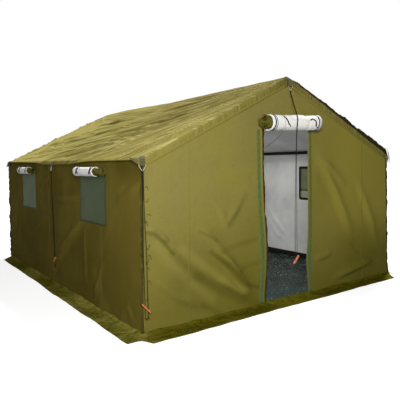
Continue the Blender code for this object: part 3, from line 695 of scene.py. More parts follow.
def steel_material(name, colour, shade, roughness):
    """Zinc-coated steel: spangle, dull patches and drawn scratches."""
    n = Nodes(name)
    place = n.object_place()
    spangle = n.noise(place, 90, 3, 0.6)
    dull = n.noise(place, 12, 4, 0.65)
    scratches = n.noise(n.stretched(place, (400, 400, 18)), 1.0, 3)
    tone = n.mix(n.ramp(spangle, 0.35, 0.65), colour, shade)
    rough = n.ramp(dull, 0.3, 0.75, roughness, roughness + 0.22)
    height = n.plus(scratches, n.times(spangle, 0.5))
    return n.finish(tone, rough, n.bump(height, 0.0003, 0.5), Metallic=0.95)


galvanised = steel_material("galvanised", (0.56, 0.57, 0.58), (0.40, 0.41, 0.43), 0.32)
zinc_wire = steel_material("zinc_wire", (0.68, 0.62, 0.42), (0.50, 0.45, 0.28), 0.30)


def slide_material():
    n = Nodes("orange_plastic")
    place = n.object_place()
    cloudy = n.noise(place, 35, 4, 0.6)
    scuffs = n.noise(n.stretched(place, (240, 240, 40)), 1.0, 4)
    tone = n.mix(n.ramp(cloudy, 0.3, 0.7), (0.68, 0.20, 0.050), (0.56, 0.14, 0.035))
    scuffed = n.mix(n.ramp(scuffs, 0.56, 0.8, 0.0, 0.5), tone, (0.72, 0.36, 0.22))
    rough = n.ramp(scuffs, 0.4, 0.8, 0.36, 0.6)
    return n.finish(scuffed, rough, n.bump(scuffs, 0.0004, 0.5), Specular_IOR_Level=0.5)


orange_plastic = slide_material()


# Folds
def folds(*creases, grow=1.0):
    """Creases with the box that each one reaches: a line, its height and its reach."""
    table = []
    for line, height, reach in creases:
        firsts, seconds = zip(*line)
        runs = [0]
        for (a0, b0), (a1, b1) in zip(line, line[1:]):
            runs.append(runs[-1] + hypot(a1 - a0, b1 - b0))
        table.append((line, runs, height * grow, reach, min(firsts) - 4 * reach,
                      max(firsts) + 4 * reach, min(seconds) - 4 * reach,
                      max(seconds) + 4 * reach))
    return table


def crease_height(a, b, table):
    """Summed height of the folds at a place."""
    total = 0
    for line, runs, height, reach, left, right, low, high in table:
        if not (left < a < right and low < b < high):
            continue
        nearest = None
        for start, (a0, b0), (a1, b1) in zip(runs, line, line[1:]):
            da, db = a1 - a0, b1 - b0
            run = hypot(da, db)
            held = min(max(((a - a0) * da + (b - b0) * db) / run ** 2, 0), 1)
            away = hypot(a - a0 - held * da, b - b0 - held * db)
            if nearest is None or away < nearest[0]:
                nearest = (away, ((a - a0) * db - (b - b0) * da) / run, start + held * run)
        away, signed, spot = nearest
        if away > 4 * reach:
            continue
        side = signed / reach
        full = smoothstep(0, 0.35 * runs[-1], min(spot, runs[-1] - spot) + 0.02)
        total += height * full * (exp(-(away / reach) ** 1.4)
                                  - 0.5 * exp(-(away / reach) ** 2 * 0.3)
                                  * exp(-(side - 1.4) ** 2))
    return total


def wandering(a, b, scale, seed):
    return drift(a * scale, b * scale, seed)


# Roof cover
rake_round = 0.035
eave_bend = 0.030
flap_run = 0.062
band_run = 0.090
gable_y = half_length + canvas + gap
roof_sag = 0.016
streak_height = 0.023
portal_place = 2.565
cover_edge = slope_run + flap_run
cover_end = gable_y - rake_round + rake_round * pi / 2 + band_run - 0.03


def streaks(x, y, seed):
    """Folds that run out from a peak; y is counted from a little outside its gable."""
    reach = hypot(x, y)
    turn = degrees(atan2(x, y)) * (1 + 0.23 * reach)
    broad = drift(turn / 9, reach * 0.30, seed)
    sharp = drift(turn / 3.4, reach * 0.45, seed + 5)
    fine = drift(turn / 1.7, reach * 0.8, seed + 9)
    return 0.7 * broad + 0.8 * (0.5 - 2 * abs(sharp)) + 0.45 * fine


roof_folds = folds(
    (((0.30, -2.43), (0.43, -2.19), (0.66, -2.03), (0.76, -1.68), (0.84, -1.31), (1.04, -1.13),
      (1.28, -0.94), (1.44, -0.82), (1.50, -0.44), (1.61, -0.03)), 0.019, 0.045),
    (((0.08, -2.24), (0.35, -2.17), (0.50, -2.00), (0.68, -1.87)), 0.012, 0.045),
    (((0.56, -2.21), (0.72, -2.01), (0.90, -1.82), (1.06, -1.57), (1.19, -1.16), (1.38, -1.11),
      (1.54, -1.04), (1.62, -0.56), (1.77, -0.21)), 0.017, 0.042),
    (((0.81, -2.46), (0.95, -2.13), (1.05, -1.70), (1.19, -1.39), (1.53, -1.41), (1.72, -1.50),
      (1.83, -1.02), (1.88, -0.47)), 0.015, 0.040),
    (((0.92, -2.55), (1.07, -2.40), (1.18, -2.27), (1.34, -2.18), (1.50, -2.16), (1.62, -2.08),
      (1.81, -2.11)), 0.015, 0.038),
    (((1.17, -2.58), (1.31, -2.55), (1.53, -2.48), (1.72, -2.33), (1.88, -2.25)), 0.014, 0.034),
    (((0.19, -2.40), (0.30, -2.11), (0.41, -1.80), (0.53, -1.47), (0.64, -1.07), (0.89, -1.01),
      (1.11, -0.63)), 0.011, 0.055),
    (((0.37, -0.06), (0.51, 0.55), (0.66, 1.03), (0.78, 1.28)), 0.013, 0.05),
    (((0.78, -0.76), (0.84, -0.26), (1.04, -0.16), (1.12, 0.40), (0.95, 1.46)), 0.014, 0.05),
    (((1.21, 1.30), (1.45, 1.54), (1.69, 1.85)), 0.015, 0.05),
    (((1.48, 0.61), (1.77, 0.93), (1.89, 1.35)), 0.014, 0.045),
    (((1.56, -1.88), (1.56, -1.37), (1.58, -0.81), (1.66, -0.48), (1.78, 0.12), (1.89, 0.75)),
     0.014, 0.040),
    (((1.02, -1.12), (1.15, -0.53), (1.33, -0.26), (1.49, 0.13), (1.57, 0.77)), 0.012, 0.045),
    (((0.39, 0.65), (0.76, 0.62), (0.91, 1.08), (1.12, 1.44), (1.37, 2.02), (1.68, 2.40)),
     0.014, 0.055),
    (((0.62, -2.585), (1.92, -2.575)), 0.006, 0.014),
    (((0.45, -2.50), (1.10, -2.53), (1.90, -2.50)), 0.009, 0.018),
    grow=1.35,
)


def roof_rise(x, y):
    """Height of the roof's folds and sag, square to its slopes."""
    across = abs(x) / half_width
    along = (y + half_length) / tent_length
    if not 0 < across < 1 or not 0 < along < 1:
        return 0
    calm = min(1, across / 0.10) * min(1, (1 - across) / 0.05)
    calm *= min(1, along / 0.006) * min(1, (1 - along) / 0.006)
    front = streaks(abs(x), y + 2.75, 1.0 if x < 0 else 21.0)
    rear = streaks(abs(x), 2.75 - y, 41.0 if x < 0 else 61.0)
    share = smoothstep(1.3, 2.6, y)
    rise = streak_height * (front * (1 - share) + rear * share)
    rise += crease_height(abs(x), y if x < 0 else -y, roof_folds)
    over_rafter = 1 - smoothstep(0.03, 0.16, min(abs(y), abs(abs(y) - portal_place)))
    rise += (max(rise, 0.001) - rise) * over_rafter
    return calm * rise - roof_sag * sin(pi * across) ** 2 * sin(tau * along) ** 2


ridge_lifts = ((-2.63, 0.024), (-1.5, 0.021), (-0.5, 0.016), (0, 0.010), (0.5, 0.018),
               (1.0, 0.032), (1.7, 0.044), (2.4, 0.038), (2.63, 0.028))


def table_value(table, place):
    for (low, first), (high, second) in zip(table, table[1:]):
        if place <= high:
            return first + (second - first) * max(0, (place - low) / (high - low))
    return table[-1][1]


def lift(x, y):
    """How far the cover stands off its frame: most along the front right rake."""
    across = min(1, abs(x) / half_width)
    ridge = table_value(ridge_lifts, y)
    eave = 0.008 + 0.016 * smoothstep(0.4, 2.2, y)
    front = exp(-(max(0, y + 2.60) / 0.40) ** 2) * smoothstep(-0.05, 0.25, x)
    raised = 0.040 + 0.026 * abs(x)
    return ridge + (eave - ridge) * across + (raised - 0.4 * ridge) * front


def flap_hang(side, y):
    """The eave flap's droop and length: it hangs most along the middle of the wall."""
    middle = smoothstep(-1.4, -0.6, y) * (1 - smoothstep(0.3, 1.1, y))
    droop, run = 40 + 22 * middle, 0.55 + 0.45 * middle
    if side > 0:
        front = 1 - smoothstep(-2.45, -1.8, y)
        droop += 22 * front
        run += 1.25 * front
    return radians(droop), run


def cover_section(s, droop):
    """Across the cover, from ridge to flap: how far out, how high and its fall."""
    start = slope_run - eave_bend / 2
    if s <= start:
        return s * cos(slope_angle), ridge_height - s * sin(slope_angle), slope_angle
    radius = eave_bend / (droop - slope_angle)
    bent = min(s - start, eave_bend)
    fall = slope_angle + bent / radius
    out = start * cos(slope_angle) + radius * (sin(fall) - sin(slope_angle))
    up = ridge_height - start * sin(slope_angle) - radius * (cos(slope_angle) - cos(fall))
    rest = s - start - bent
    return out + rest * cos(fall), up - rest * sin(fall), fall


def cover_point(a, b):
    """a: across the cloth from the ridge; b: along it from its middle."""
    side = 1 if a > 0 else -1
    start = gable_y - rake_round
    over = max(0, abs(b) - start)
    turned = min(over, rake_round * pi / 2)
    y = min(abs(b), start) + rake_round * sin(turned / rake_round)
    y *= 1 if b > 0 else -1
    droop, run = flap_hang(side, y)
    reach = abs(a) if abs(a) < slope_run else slope_run + (abs(a) - slope_run) * run
    out, up, fall = cover_section(reach, droop)
    ridge_round = 0.005 * (1 - min(1, abs(a) / 0.05)) ** 2
    lump = 0.002 * abs(wandering(a, b, 7, 3.0)) * min(1, over / rake_round)
    end_seed = 2.0 if b > 0 else 7.0
    bumpy = 0.020 * drift(a * 4.5, end_seed, 1.0)
    bumpy += 0.010 * drift(a * 15, end_seed, 4.0)
    if b > 0:
        bumpy += 0.020 * drift(a * 19, end_seed, 9.0)
    worn = smoothstep(0.1, 1.2, a) if b < 0 else 0.8 * smoothstep(0.1, 0.5, -a) + 0.3
    bumpy *= worn * smoothstep(start - 0.12, start, abs(b))
    stand = lift(side * min(out, half_width), y) + bumpy
    stand += 0.004 * wandering(0, y, 4.0, 2.0) * max(0, 1 - abs(a) / 0.4)
    rest = (over - turned) * (1 - 0.45 * smoothstep(slope_run - 0.03, slope_run + 0.02, abs(a)))
    rest *= 1 + max(0, stand) / 0.07
    down = rake_round * (1 - cos(turned / rake_round)) + rest
    down += 0.004 * wandering(a, 0, 5, 8.0) * (over > 0.1)
    spot = Vector((side * out, y, up - down - ridge_round + stand))
    normal = Vector((side * sin(fall), 0, cos(fall)))
    spot += normal * roof_rise(side * min(out, half_width), y)
    if abs(a) > slope_run:
        spot.x += side * 0.003 * wandering(a, y, 6, 5.0)
    spot.y += lump if b > 0 else -lump
    return spot


def roof_cover():
    bend = slope_run - eave_bend / 2
    bent = bend + eave_bend
    turn = gable_y - rake_round
    turned = turn + rake_round * pi / 2
    columns = stations((-cover_edge, -bent, -bend, 0, bend, bent, cover_edge),
                       (0.02, 0.006, 0.018, 0.018, 0.006, 0.02))
    rows = stations((-cover_end, -turned, -turn, turn, turned, cover_end),
                    (0.02, 0.01, 0.028, 0.01, 0.02))
    cover = cloth("roof_cover", "roof_canvas", columns, rows, cover_point, [roof_canvas])


roof_cover()


def with_normal(place, outward):
    """A surface that also gives its normal, from places close by."""
    def surface(a, b):
        spot = place(a, b)
        along_a = place(a + 0.004, b) - place(a - 0.004, b)
        along_b = place(a, b + 0.004) - place(a, b - 0.004)
        normal = along_a.cross(along_b).normalized()
        return spot, normal if normal.dot(outward) > 0 else -normal
    return surface


def cover_hems():
    """The turned and sewn edges of the cover: at its flaps and its gable bands."""
    for side, side_name in sides:
        surface = with_normal(cover_point, Vector((side, 0, 0.3)))
        low = side * (cover_edge - 0.010)
        ribbon(f"flap_hem_{side_name}", "roof_canvas", surface,
               [(low, b) for b in stations((-2.58, 2.58), 0.04)], 0.016, 0.0012, front_hem,
               sunk=-0.0004)
    for end, end_name in ((-1, "front"), (1, "rear")):
        surface = with_normal(cover_point, Vector((0, end, 0.1)))
        for side, side_name in sides:
            path = [(side * a, end * (cover_end - 0.014)) for a in stations((0.03, 2.16), 0.04)]
            ribbon(f"band_hem_{end_name}_{side_name}", "roof_canvas", surface, path, hem_width,
                   0.0012, front_hem, sunk=-0.0004)


cover_hems()

strap_width = 0.055
strap_thickness = 0.0022
bar_place = Vector((0.045, -0.065))
corner_strap = ((-0.036, 0.024), (-0.012, 0.016), (0.006, 0.003), (0.019, -0.014),
                (0.031, -0.034), (0.0395, -0.052))
lifted_strap = ((-0.036, 0.100), (-0.010, 0.096), (0.014, 0.078), (0.026, 0.048),
                (0.034, 0.010), (0.0405, -0.030), (0.0415, -0.054))
eave_strap = ((-0.034, 0.030), (-0.014, 0.021), (-0.002, 0.006), (0.012, -0.016),
              (0.027, -0.037), (0.039, -0.053))
ridge_strap = ((-0.040, 0.056), (-0.016, 0.054), (0.004, 0.040), (0.013, 0.018),
               (0.024, -0.012), (0.0375, -0.046))
straps = {
    "front_left": ((-2.0, -2.6273, 1.77), 240, corner_strap, 0),
    "front_right": ((2.0, -2.6273, 1.77), -60, lifted_strap, 0),
    "rear_left": ((-2.0, 2.6273, 1.77), 120, corner_strap, 0),
    "rear_right": ((2.0, 2.6273, 1.77), 60, corner_strap, 0),
    "left": ((-2.017, 0, 1.753), 180, eave_strap, 0),
    "right": ((2.017, 0, 1.753), 0, eave_strap, 0),
    "ridge_front": ((0, -2.6273, 2.67), -90, ridge_strap, slope),
    "ridge_rear": ((0, 2.6273, 2.67), 90, ridge_strap, slope),
}


def strap(name, seat, turn, upper, crown):
    """Webbing sewn over the cover's edge, down and round the ring's bar, and back up."""
    out = Vector((cos(radians(turn)), sin(radians(turn)), 0))
    side = Vector((-out.y, out.x, 0))
    path = [Vector(spot) for spot in upper]
    path += [bar_place + 0.0048 * Vector((cos(angle), sin(angle)))
             for angle in (radians(30 - 27 * k) for k in range(9))]
    path += [Vector(spot) + Vector((-0.007, -0.007)) for spot in upper[:2:-1]]
    runs = [0]
    for before, after in zip(path, path[1:]):
        runs.append(runs[-1] + (after - before).length)

    def at(across, run):
        index = min(range(len(runs)), key=lambda k: abs(runs[k] - run))
        spot = path[index]
        fade = max(0, 1 - index / (len(upper) - 1))
        return (Vector(seat) + out * spot.x + side * across
                + Vector((0, 0, spot.y - crown * abs(across) * fade)))

    across = stations((-strap_width / 2, 0, strap_width / 2), 0.0138)
    piece = cloth("strap_" + name, "roof_canvas", across, runs, at, [webbing],
                  thickness=strap_thickness)
    piece.modifiers["Thickness"].offset = 0


patch_long = 0.208
cover_corner = 2.632


def corner_patch(side, end):
    """A pale three-cornered patch that stiffens the cover's corner."""
    name = f"corner_patch_{'front' if end < 0 else 'rear'}_{'left' if side < 0 else 'right'}"

    def at(along_eave, share):
        y = end * (cover_corner - patch_long * along_eave)
        top = eave_height + lift(side * half_width, y) + 0.004
        low = 1.772 - 0.074 * (1 - along_eave) ** 0.9
        out = 0.002 + 0.033 * min(1, 3 * share) ** 0.7
        return Vector((side * (half_width + out), y, top - (top - low) * share))

    shares = stations((0, 1), 0.12)
    patch = cloth(name, "roof_canvas", shares, shares, at, [patch_canvas], thickness=thin_canvas,
                  flip=side * end > 0)


for name, (seat, turn, upper, crown) in straps.items():
    strap(name, seat, turn, upper, crown)
for side, end in ((-1, -1), (-1, 1), (1, 1)):
    corner_patch(side, end)


# Walls
def side_face(height):
    return half_width + side_batter * (1 - height / eave_height)


def rake_height(x):
    return ridge_height - slope * abs(x) - 0.004


front_creases = (
    (((-1.97, 1.07), (-1.86, 1.01), (-1.70, 0.90)), 0.010, 0.035),
    (((-1.40, 1.12), (-1.04, 0.72), (-0.62, 0.24)), 0.012, 0.07),
    (((-1.19, 0.79), (-0.94, 0.59), (-0.54, 0.08)), 0.012, 0.05),
    (((-1.10, 0.44), (-0.62, 0.12)), 0.012, 0.045),
    (((-1.08, 1.25), (-0.96, 1.03), (-0.71, 1.30)), 0.005, 0.05),
    (((-1.65, 0.52), (-1.20, 0.30), (-0.80, 0.10)), -0.010, 0.07),
    (((-1.95, 0.62), (-1.60, 0.32), (-1.20, 0.10)), 0.009, 0.06),
    (((0.46, 1.91), (0.86, 1.30), (1.26, 0.57)), 0.011, 0.08),
    (((0.58, 1.74), (1.12, 1.34)), 0.007, 0.06),
    (((0.47, 0.43), (0.79, 0.47)), 0.008, 0.04),
    (((0.76, 0.11), (1.75, 0.28)), 0.012, 0.05),
    (((1.30, 1.50), (1.62, 0.86), (1.80, 0.40)), 0.008, 0.08),
    (((1.10, 0.62), (1.50, 0.36), (1.90, 0.16)), -0.009, 0.07),
)
rear_creases = tuple((tuple((-x, z) for x, z in line), height, reach)
                     for line, height, reach in front_creases[:4] + front_creases[7:])
rear_creases += ((((-0.5, 1.9), (-0.1, 1.2), (0.3, 0.5)), 0.010, 0.08),)
front_folds = folds(*front_creases, grow=3.9)
rear_folds = folds(*rear_creases, grow=1.8)


def foot_flare(a, z, seed):
    return 0.012 * (1 - smoothstep(0, 0.16, z)) * (1 + 0.5 * wandering(a, z, 3, seed + 7))


def gable_bulge(x, z, table, seed):
    slack = 0.006 * wandering(x, z, 1.1, seed) + 0.0022 * wandering(x, z, 3.6, seed + 3)
    tugged = 0.0010 * drift((x + z) * 9, (x - z) * 2.2, seed)
    bulge = slack + tugged + crease_height(x, z, table)
    free = smoothstep(0.0, 0.06, half_width - abs(x))
    free *= smoothstep(0.0, 0.12, rake_height(x) - z)
    return max(-0.016, bulge) * free + foot_flare(x, z, seed)


def jamb_shift(x, z):
    """The jambs lean into the doorway low down."""
    left = 0.058 * exp(-((z - 0.62) / 0.50) ** 2) * exp(-((x - door_left) / 0.12) ** 2)
    right = 0.030 * exp(-((z - 0.42) / 0.26) ** 2) * exp(-((x - door_right) / 0.07) ** 2)
    return left - right


def front_place(x, z):
    wide = side_face(min(z, eave_height)) / half_width
    x += jamb_shift(x, z)
    return Vector((x * wide, -half_length - gable_bulge(x, z, front_folds, 2.0), z))


def rear_place(x, z):
    wide = side_face(min(z, eave_height)) / half_width
    return Vector((x * wide, half_length + gable_bulge(x, z, rear_folds, 12.0), z))


front_surface = with_normal(front_place, Vector((0, -1, 0)))
rear_surface = with_normal(rear_place, Vector((0, 1, 0)))


def gable_wall(name, node, place, facing, has_door):
    knee = 0.42
    head_share = door_head / rake_height(knee)

    def at(x, share):
        top = rake_height(x)
        if abs(x) > knee:
            return place(x, share * top)
        low = min(share, head_share)
        spare = max(0, share - low) / (1 - head_share)
        return place(x, low * rake_height(knee) + spare * (top - door_head))

    def is_door(x, share):
        return has_door and door_left < x < door_right and share < head_share

    columns = stations((-half_width, door_left, 0, door_right, half_width), 0.024)
    wall = cloth(name, node, columns, stations((0, head_share, 1), 0.011), at,
                 [front_canvas, wall_lining], is_hole=is_door, flip=facing > 0)


gable_wall("front_gable", "front_wall", front_place, -1, True)
gable_wall("rear_gable", "rear_wall", rear_place, 1, False)

left_folds = folds(
    (((-1.10, 1.04), (-0.60, 0.74), (-0.16, 0.48), (0.18, 0.08)), 0.020, 0.06),
    (((-1.10, 1.04), (-1.12, 0.15)), 0.005, 0.04),
    (((0.03, 1.22), (-0.96, 1.28)), 0.007, 0.05),
    (((-2.02, 0.02), (-2.30, 0.20), (-2.45, 0.05)), 0.005, 0.05),
    (((-1.99, 1.29), (-2.59, 1.53)), 0.009, 0.05),
    (((0.71, 1.33), (0.10, 1.53)), 0.008, 0.05),
    (((1.42, 0.46), (0.27, 0.98)), 0.009, 0.06),
    (((-0.11, 0.51), (0.19, 0.04)), 0.010, 0.05),
    (((-1.34, 0.06), (-1.68, 0.61)), 0.009, 0.05),
    (((2.30, 1.30), (1.95, 0.60), (2.05, 0.10)), 0.010, 0.07),
    grow=3.2,
)


def side_bulge(y, z, seed, strong=1.0):
    slack = 0.006 * wandering(y, z, 1.2, seed) + 0.002 * wandering(y, z, 4.0, seed + 3)
    hung = 0.0016 * drift(y * 7, z * 1.3, seed)
    by_rope = 1 - 0.96 * exp(-(y / 0.20) ** 2)
    bulge = slack + hung + strong * by_rope * crease_height(y, z, left_folds)
    free = smoothstep(0.0, 0.05, half_length - abs(y)) * smoothstep(0.0, 0.10, eave_height - z)
    return max(-0.004, bulge) * free + foot_flare(y, z, seed)


def left_place(y, z):
    return Vector((-side_face(z) - side_bulge(y, z, 3.0), y, z))


def right_place(y, z):
    flare = 0.045 * (1 - smoothstep(0.0, 0.26, z)) * (1 - smoothstep(-2.3, -1.7, y))
    return Vector((side_face(z) + side_bulge(-y, z, 31.0, 0.55) + flare, y, z))


left_surface = with_normal(left_place, Vector((-1, 0, 0)))
right_surface = with_normal(right_place, Vector((1, 0, 0)))


def in_window(y, z):
    across = min(abs(y - place) for place in window_places)
    return across < window_half and window_sill < z < window_head


def side_wall(name, node, place, side):
    end = half_length - canvas - gap
    columns = stations([-end] + window_edges + [end], 0.024)
    rows = stations((0, window_sill, window_head, eave_height - 0.004), 0.024)
    wall = cloth(name, node, columns, rows, place, [side_canvas], is_hole=in_window,
                 flip=side < 0)


side_wall("left_side", "left_wall", left_place, -1)
side_wall("right_side", "right_wall", right_place, 1)


# Sod cloth: one strip along each wall, from the front left corner round
sod_strips = (
    ((-2.07, -2.875), (1.90, -2.855), (-1, -1), (1, -1)),
    ((2.17, -2.60), (2.25, 2.42), (1, -1), (1, 1)),
    ((1.90, 2.84), (-1.90, 2.80), (1, 1), (-1, 1)),
    ((-2.25, 2.34), (-2.285, -2.74), (-1, 1), (-1, -1)),
)
strip_share = 0.965
sod_rises = (0.030, 0.075, 0.030, 0.030)


def sod_point(run, reach):
    """run: 0 to 4 round the tent; reach: 0 at the foot of the wall to 1 at the edge."""
    leg = min(int(run), 3)
    share = run - leg
    start, end, foot_start, foot_end = sod_strips[leg]
    following = sod_strips[(leg + 1) % 4]
    foot = Vector((side_face(0) - 0.010, half_length - 0.010))
    from_corner = Vector((foot.x * foot_start[0], foot.y * foot_start[1]))
    to_corner = Vector((foot.x * foot_end[0], foot.y * foot_end[1]))
    rise = sod_rises[leg]
    notch = 0
    if share <= strip_share:
        t = share / strip_share
        inner = from_corner.lerp(to_corner, t)
        outer = Vector(start).lerp(Vector(end), t)
    else:
        t = (share - strip_share) / (1 - strip_share)
        inner = to_corner
        outer = Vector(end).lerp(Vector(following[0]), t)
        rise += (sod_rises[(leg + 1) % 4] - rise) * t
        notch = 0.30 * sin(pi * t)
    wave = 0.022 * drift(outer.x * 1.3, outer.y * 1.3, 4.0)
    wave += 0.010 * drift(outer.x * 6, outer.y * 6, 5.0)
    wide = (outer - inner).length
    spot = inner + (outer - inner) * (reach * (1 - notch) * (1 + wave / wide))
    away = reach * wide
    lift = rise * exp(-(away / 0.045) ** 2) if away > 0.012 else rise
    rumple = drift(spot.x * 5.5, spot.y * 5.5, 6.0)
    rumple += 0.6 * drift(spot.x * 13, spot.y * 13, 8.0)
    lift += 0.016 * abs(rumple) * sin(pi * min(1, 0.15 + 0.85 * reach)) ** 0.7
    if reach > 0.93:
        lift *= 0.5
    return Vector((spot.x, spot.y, 0.0035 + lift))


def sod_cloth():
    columns = [leg + share for leg in range(4)
               for share in stations((0, strip_share, 1), 0.006)[:-1]] + [4]
    rows = stations((0, 0.12, 1), 0.07)
    skirt = cloth("sod_skirt", "sod_cloth", columns, rows,
                  lambda run, reach: sod_point(run % 4, reach), [sod_canvas], flip=True)


sod_cloth()


# Groundsheet
floor_half = (2.0297, 2.6047)


def ground_point(x, y):
    rise = 0.004 * abs(wandering(x, y, 3.0, 1.0)) + 0.003 * abs(wandering(x, y, 8.0, 2.0))
    edge = min(smoothstep(0, 0.10, half - abs(place)) for half, place in zip(floor_half, (x, y)))
    return Vector((x, y, 0.0022 + rise * edge))


def ground_sheet():
    columns, rows = [stations((-half, half), 0.04) for half in floor_half]
    floor = cloth("floor_cloth", "groundsheet", columns, rows, ground_point, [coated_floor])


ground_sheet()


# Lining
lining_wall = 1.9558
curve_end = 1.55
curve_from = 1.66
band_at = 8
ceiling_drop = 2.6513
lining_end = half_length - 0.03
lining_thickness = 0.0012


def lining_section():
    """Half the lining from its hem up the wall and over to the ridge."""
    def ceiling(x):
        return ceiling_drop - slope * x

    half = [(lining_wall, z) for z in stations((0.02, window_sill, window_head, curve_from), 0.035)]
    corner = (lining_wall, ceiling(lining_wall))
    end = (curve_end, ceiling(curve_end))
    for k in range(1, 11):
        t = k / 10
        half.append(((1 - t * t) * lining_wall + t * t * end[0],
                     (1 - t) ** 2 * curve_from + 2 * t * (1 - t) * corner[1] + t * t * end[1]))
    half += [(x, ceiling(x)) for x in stations((curve_end, 0), 0.06)[1:]]
    return half


lining_half = lining_section()
lining_split = next(i for i, (x, z) in enumerate(lining_half) if z > curve_from) + band_at - 1
band_x, band_top = lining_half[lining_split]
lining_runs = [0]
for before, after in zip(lining_half, lining_half[1:]):
    lining_runs.append(lining_runs[-1] + hypot(after[0] - before[0], after[1] - before[1]))


lining_folds = folds(
    (((-0.10, 0.96), (-0.17, 0.85), (-0.38, 0.61), (-0.58, 0.42), (-0.77, 0.34)), 0.022, 0.05),
    (((-0.10, 0.74), (-0.26, 0.53), (-0.45, 0.34), (-0.70, 0.27)), 0.018, 0.045),
    (((-0.10, 0.60), (-0.16, 0.51), (-0.32, 0.20)), 0.016, 0.045),
    (((-0.51, 0.98), (-0.74, 1.18)), 0.008, 0.03),
    (((0.9, 0.9), (0.7, 0.5), (0.3, 0.2)), 0.012, 0.05),
    (((-2.2, 0.9), (-1.9, 0.5), (-1.5, 0.2)), 0.012, 0.05),
)


def lining_point(side, index, y):
    x, z = lining_half[index]
    hung = 0.006 * drift(y * 2.4, z * 0.8, 3.0 + side)
    hung += 0.003 * drift(y * 7, z * 1.5, 8.0 + side)
    hung += crease_height(y, z, lining_folds)
    free = min(1, index / 3) * (x > curve_end)
    return Vector((side * (x - max(0, hung + 0.004) * free), y, z))


def lining():
    rows = stations([-lining_end] + window_edges + [lining_end], 0.04)
    top = len(lining_half) - 1
    split = lining_split

    def at(index, y):
        side = -1 if index < 0 else 1
        return lining_point(side, top - abs(int(index)), y)

    def is_window(index, y):
        low = int(top - abs(index))
        (x0, z0), (x1, z1) = lining_half[low:low + 2]
        return abs(x0 - x1) < 1e-6 and in_window(y, (z0 + z1) / 2)

    wall_hole = 4 * window_half * (window_head - window_sill)
    wall_wide = lining_runs[split]
    roof_wide = (lining_runs[top] - lining_runs[split]) * 2
    for name, low, high, made_of, wide, hole in (
            ("left", -top, split - top, wall_lining, wall_wide, wall_hole),
            ("roof", split - top, top - split, shaded_roof_lining, roof_wide, 0),
            ("right", top - split, top, wall_lining, wall_wide, wall_hole)):
        sheet_part = cloth("lining_" + name, "inner_lining", list(range(low, high + 1)), rows,
                           at, [made_of], lining_thickness, is_window)


lining()


def lining_surface(side):
    def surface(y, z):
        return Vector((side * (lining_wall - 0.012), y, z)), Vector((-side, 0, 0))
    return surface


def inner_window(side, name, spot):
    """The lining's own net, pale with painted light, and a paler strip of painted light along its
    foot.
    """
    def at(y, z):
        slack = 0.0015 * drift(y * 9, z * 9, side)
        return Vector((side * (lining_wall + 0.003 + slack), y, z))

    columns = stations((spot - window_half - 0.01, spot + window_half + 0.01), 0.06)
    for part, low, high, made_of in (
            ("net", window_sill + 0.15, window_head + 0.01, inner_net_painted_light),
            ("net_painted_light_strip", window_sill - 0.01, window_sill + 0.15, net_painted_light_strip)):
        sheet_part = cloth(f"lining_{part}_{name}", "inner_lining", columns,
                           stations((low, high), 0.05), at, [made_of], 0.0006,
                           flip=side < 0)


def window_frame(name, surface, spot):
    """Dark tape round a window of the lining."""
    low, high = window_sill + 0.018, window_head - 0.018
    near, far = spot - window_half + 0.018, spot + window_half - 0.018
    for part, path, lip in (
            ("sill", [(y, low) for y in stations((near, far), 0.08)], 0.0012),
            ("head", [(y, high) for y in stations((near, far), 0.08)], 0.0012),
            ("near", [(near, z) for z in stations((low, high), 0.08)], 0.0018),
            ("far", [(far, z) for z in stations((low, high), 0.08)], 0.0018)):
        ribbon(f"lining_frame_{name}_{part}", "inner_lining", surface, path, 0.036, lip,
               dark_tape)


def ceiling_surface(x, y):
    return Vector((x, y, ceiling_drop - slope * abs(x) - 0.0012)), Vector((0, 0, -1))


def lining_trim():
    """Dark tape round each window, a dark strip along the foot and a hanging band at the corner."""
    ends = (-lining_end, lining_end)
    for side, side_name in sides:
        surface = lining_surface(side)
        ribbon(f"lining_foot_strip_{side_name}", "inner_lining", surface,
               [(y, 0.052) for y in stations(ends, 0.06)], 0.075, 0.0012, dark_tape)
        for end_name, spot in window_ends:
            window_frame(f"{side_name}_{end_name}", surface, spot)
            inner_window(side, f"{side_name}_{end_name}", spot)

        def hanging(y, drop):
            swing = 0.006 * drift(y * 3, 1.0, side) * drop / 0.05
            return Vector((side * (band_x - 0.014 + swing), y, band_top - 0.002 - drop))

        ribbon(f"lining_seam_{side_name}", "inner_lining", ceiling_surface,
               [(side * 1.06, y) for y in stations(ends, 0.2)], 0.016, 0.0015, wall_lining)
        band = cloth(f"lining_band_{side_name}", "inner_lining", stations(ends, 0.04),
                     stations((0, 0.05), 0.0125), hanging, [dark_tape],
                     lining_thickness, flip=side > 0)


lining_trim()


# Door and corner tapes, seams and hems on the walls
def along(path, step=0.04):
    """The path's corners with even steps between them."""
    line = []
    for (a0, b0), (a1, b1) in zip(path, path[1:]):
        count = max(1, ceil(hypot(a1 - a0, b1 - b0) / step))
        line += [(a0 + (a1 - a0) * i / count, b0 + (b1 - b0) * i / count)
                 for i in range(count)]
    return line + [path[-1]]


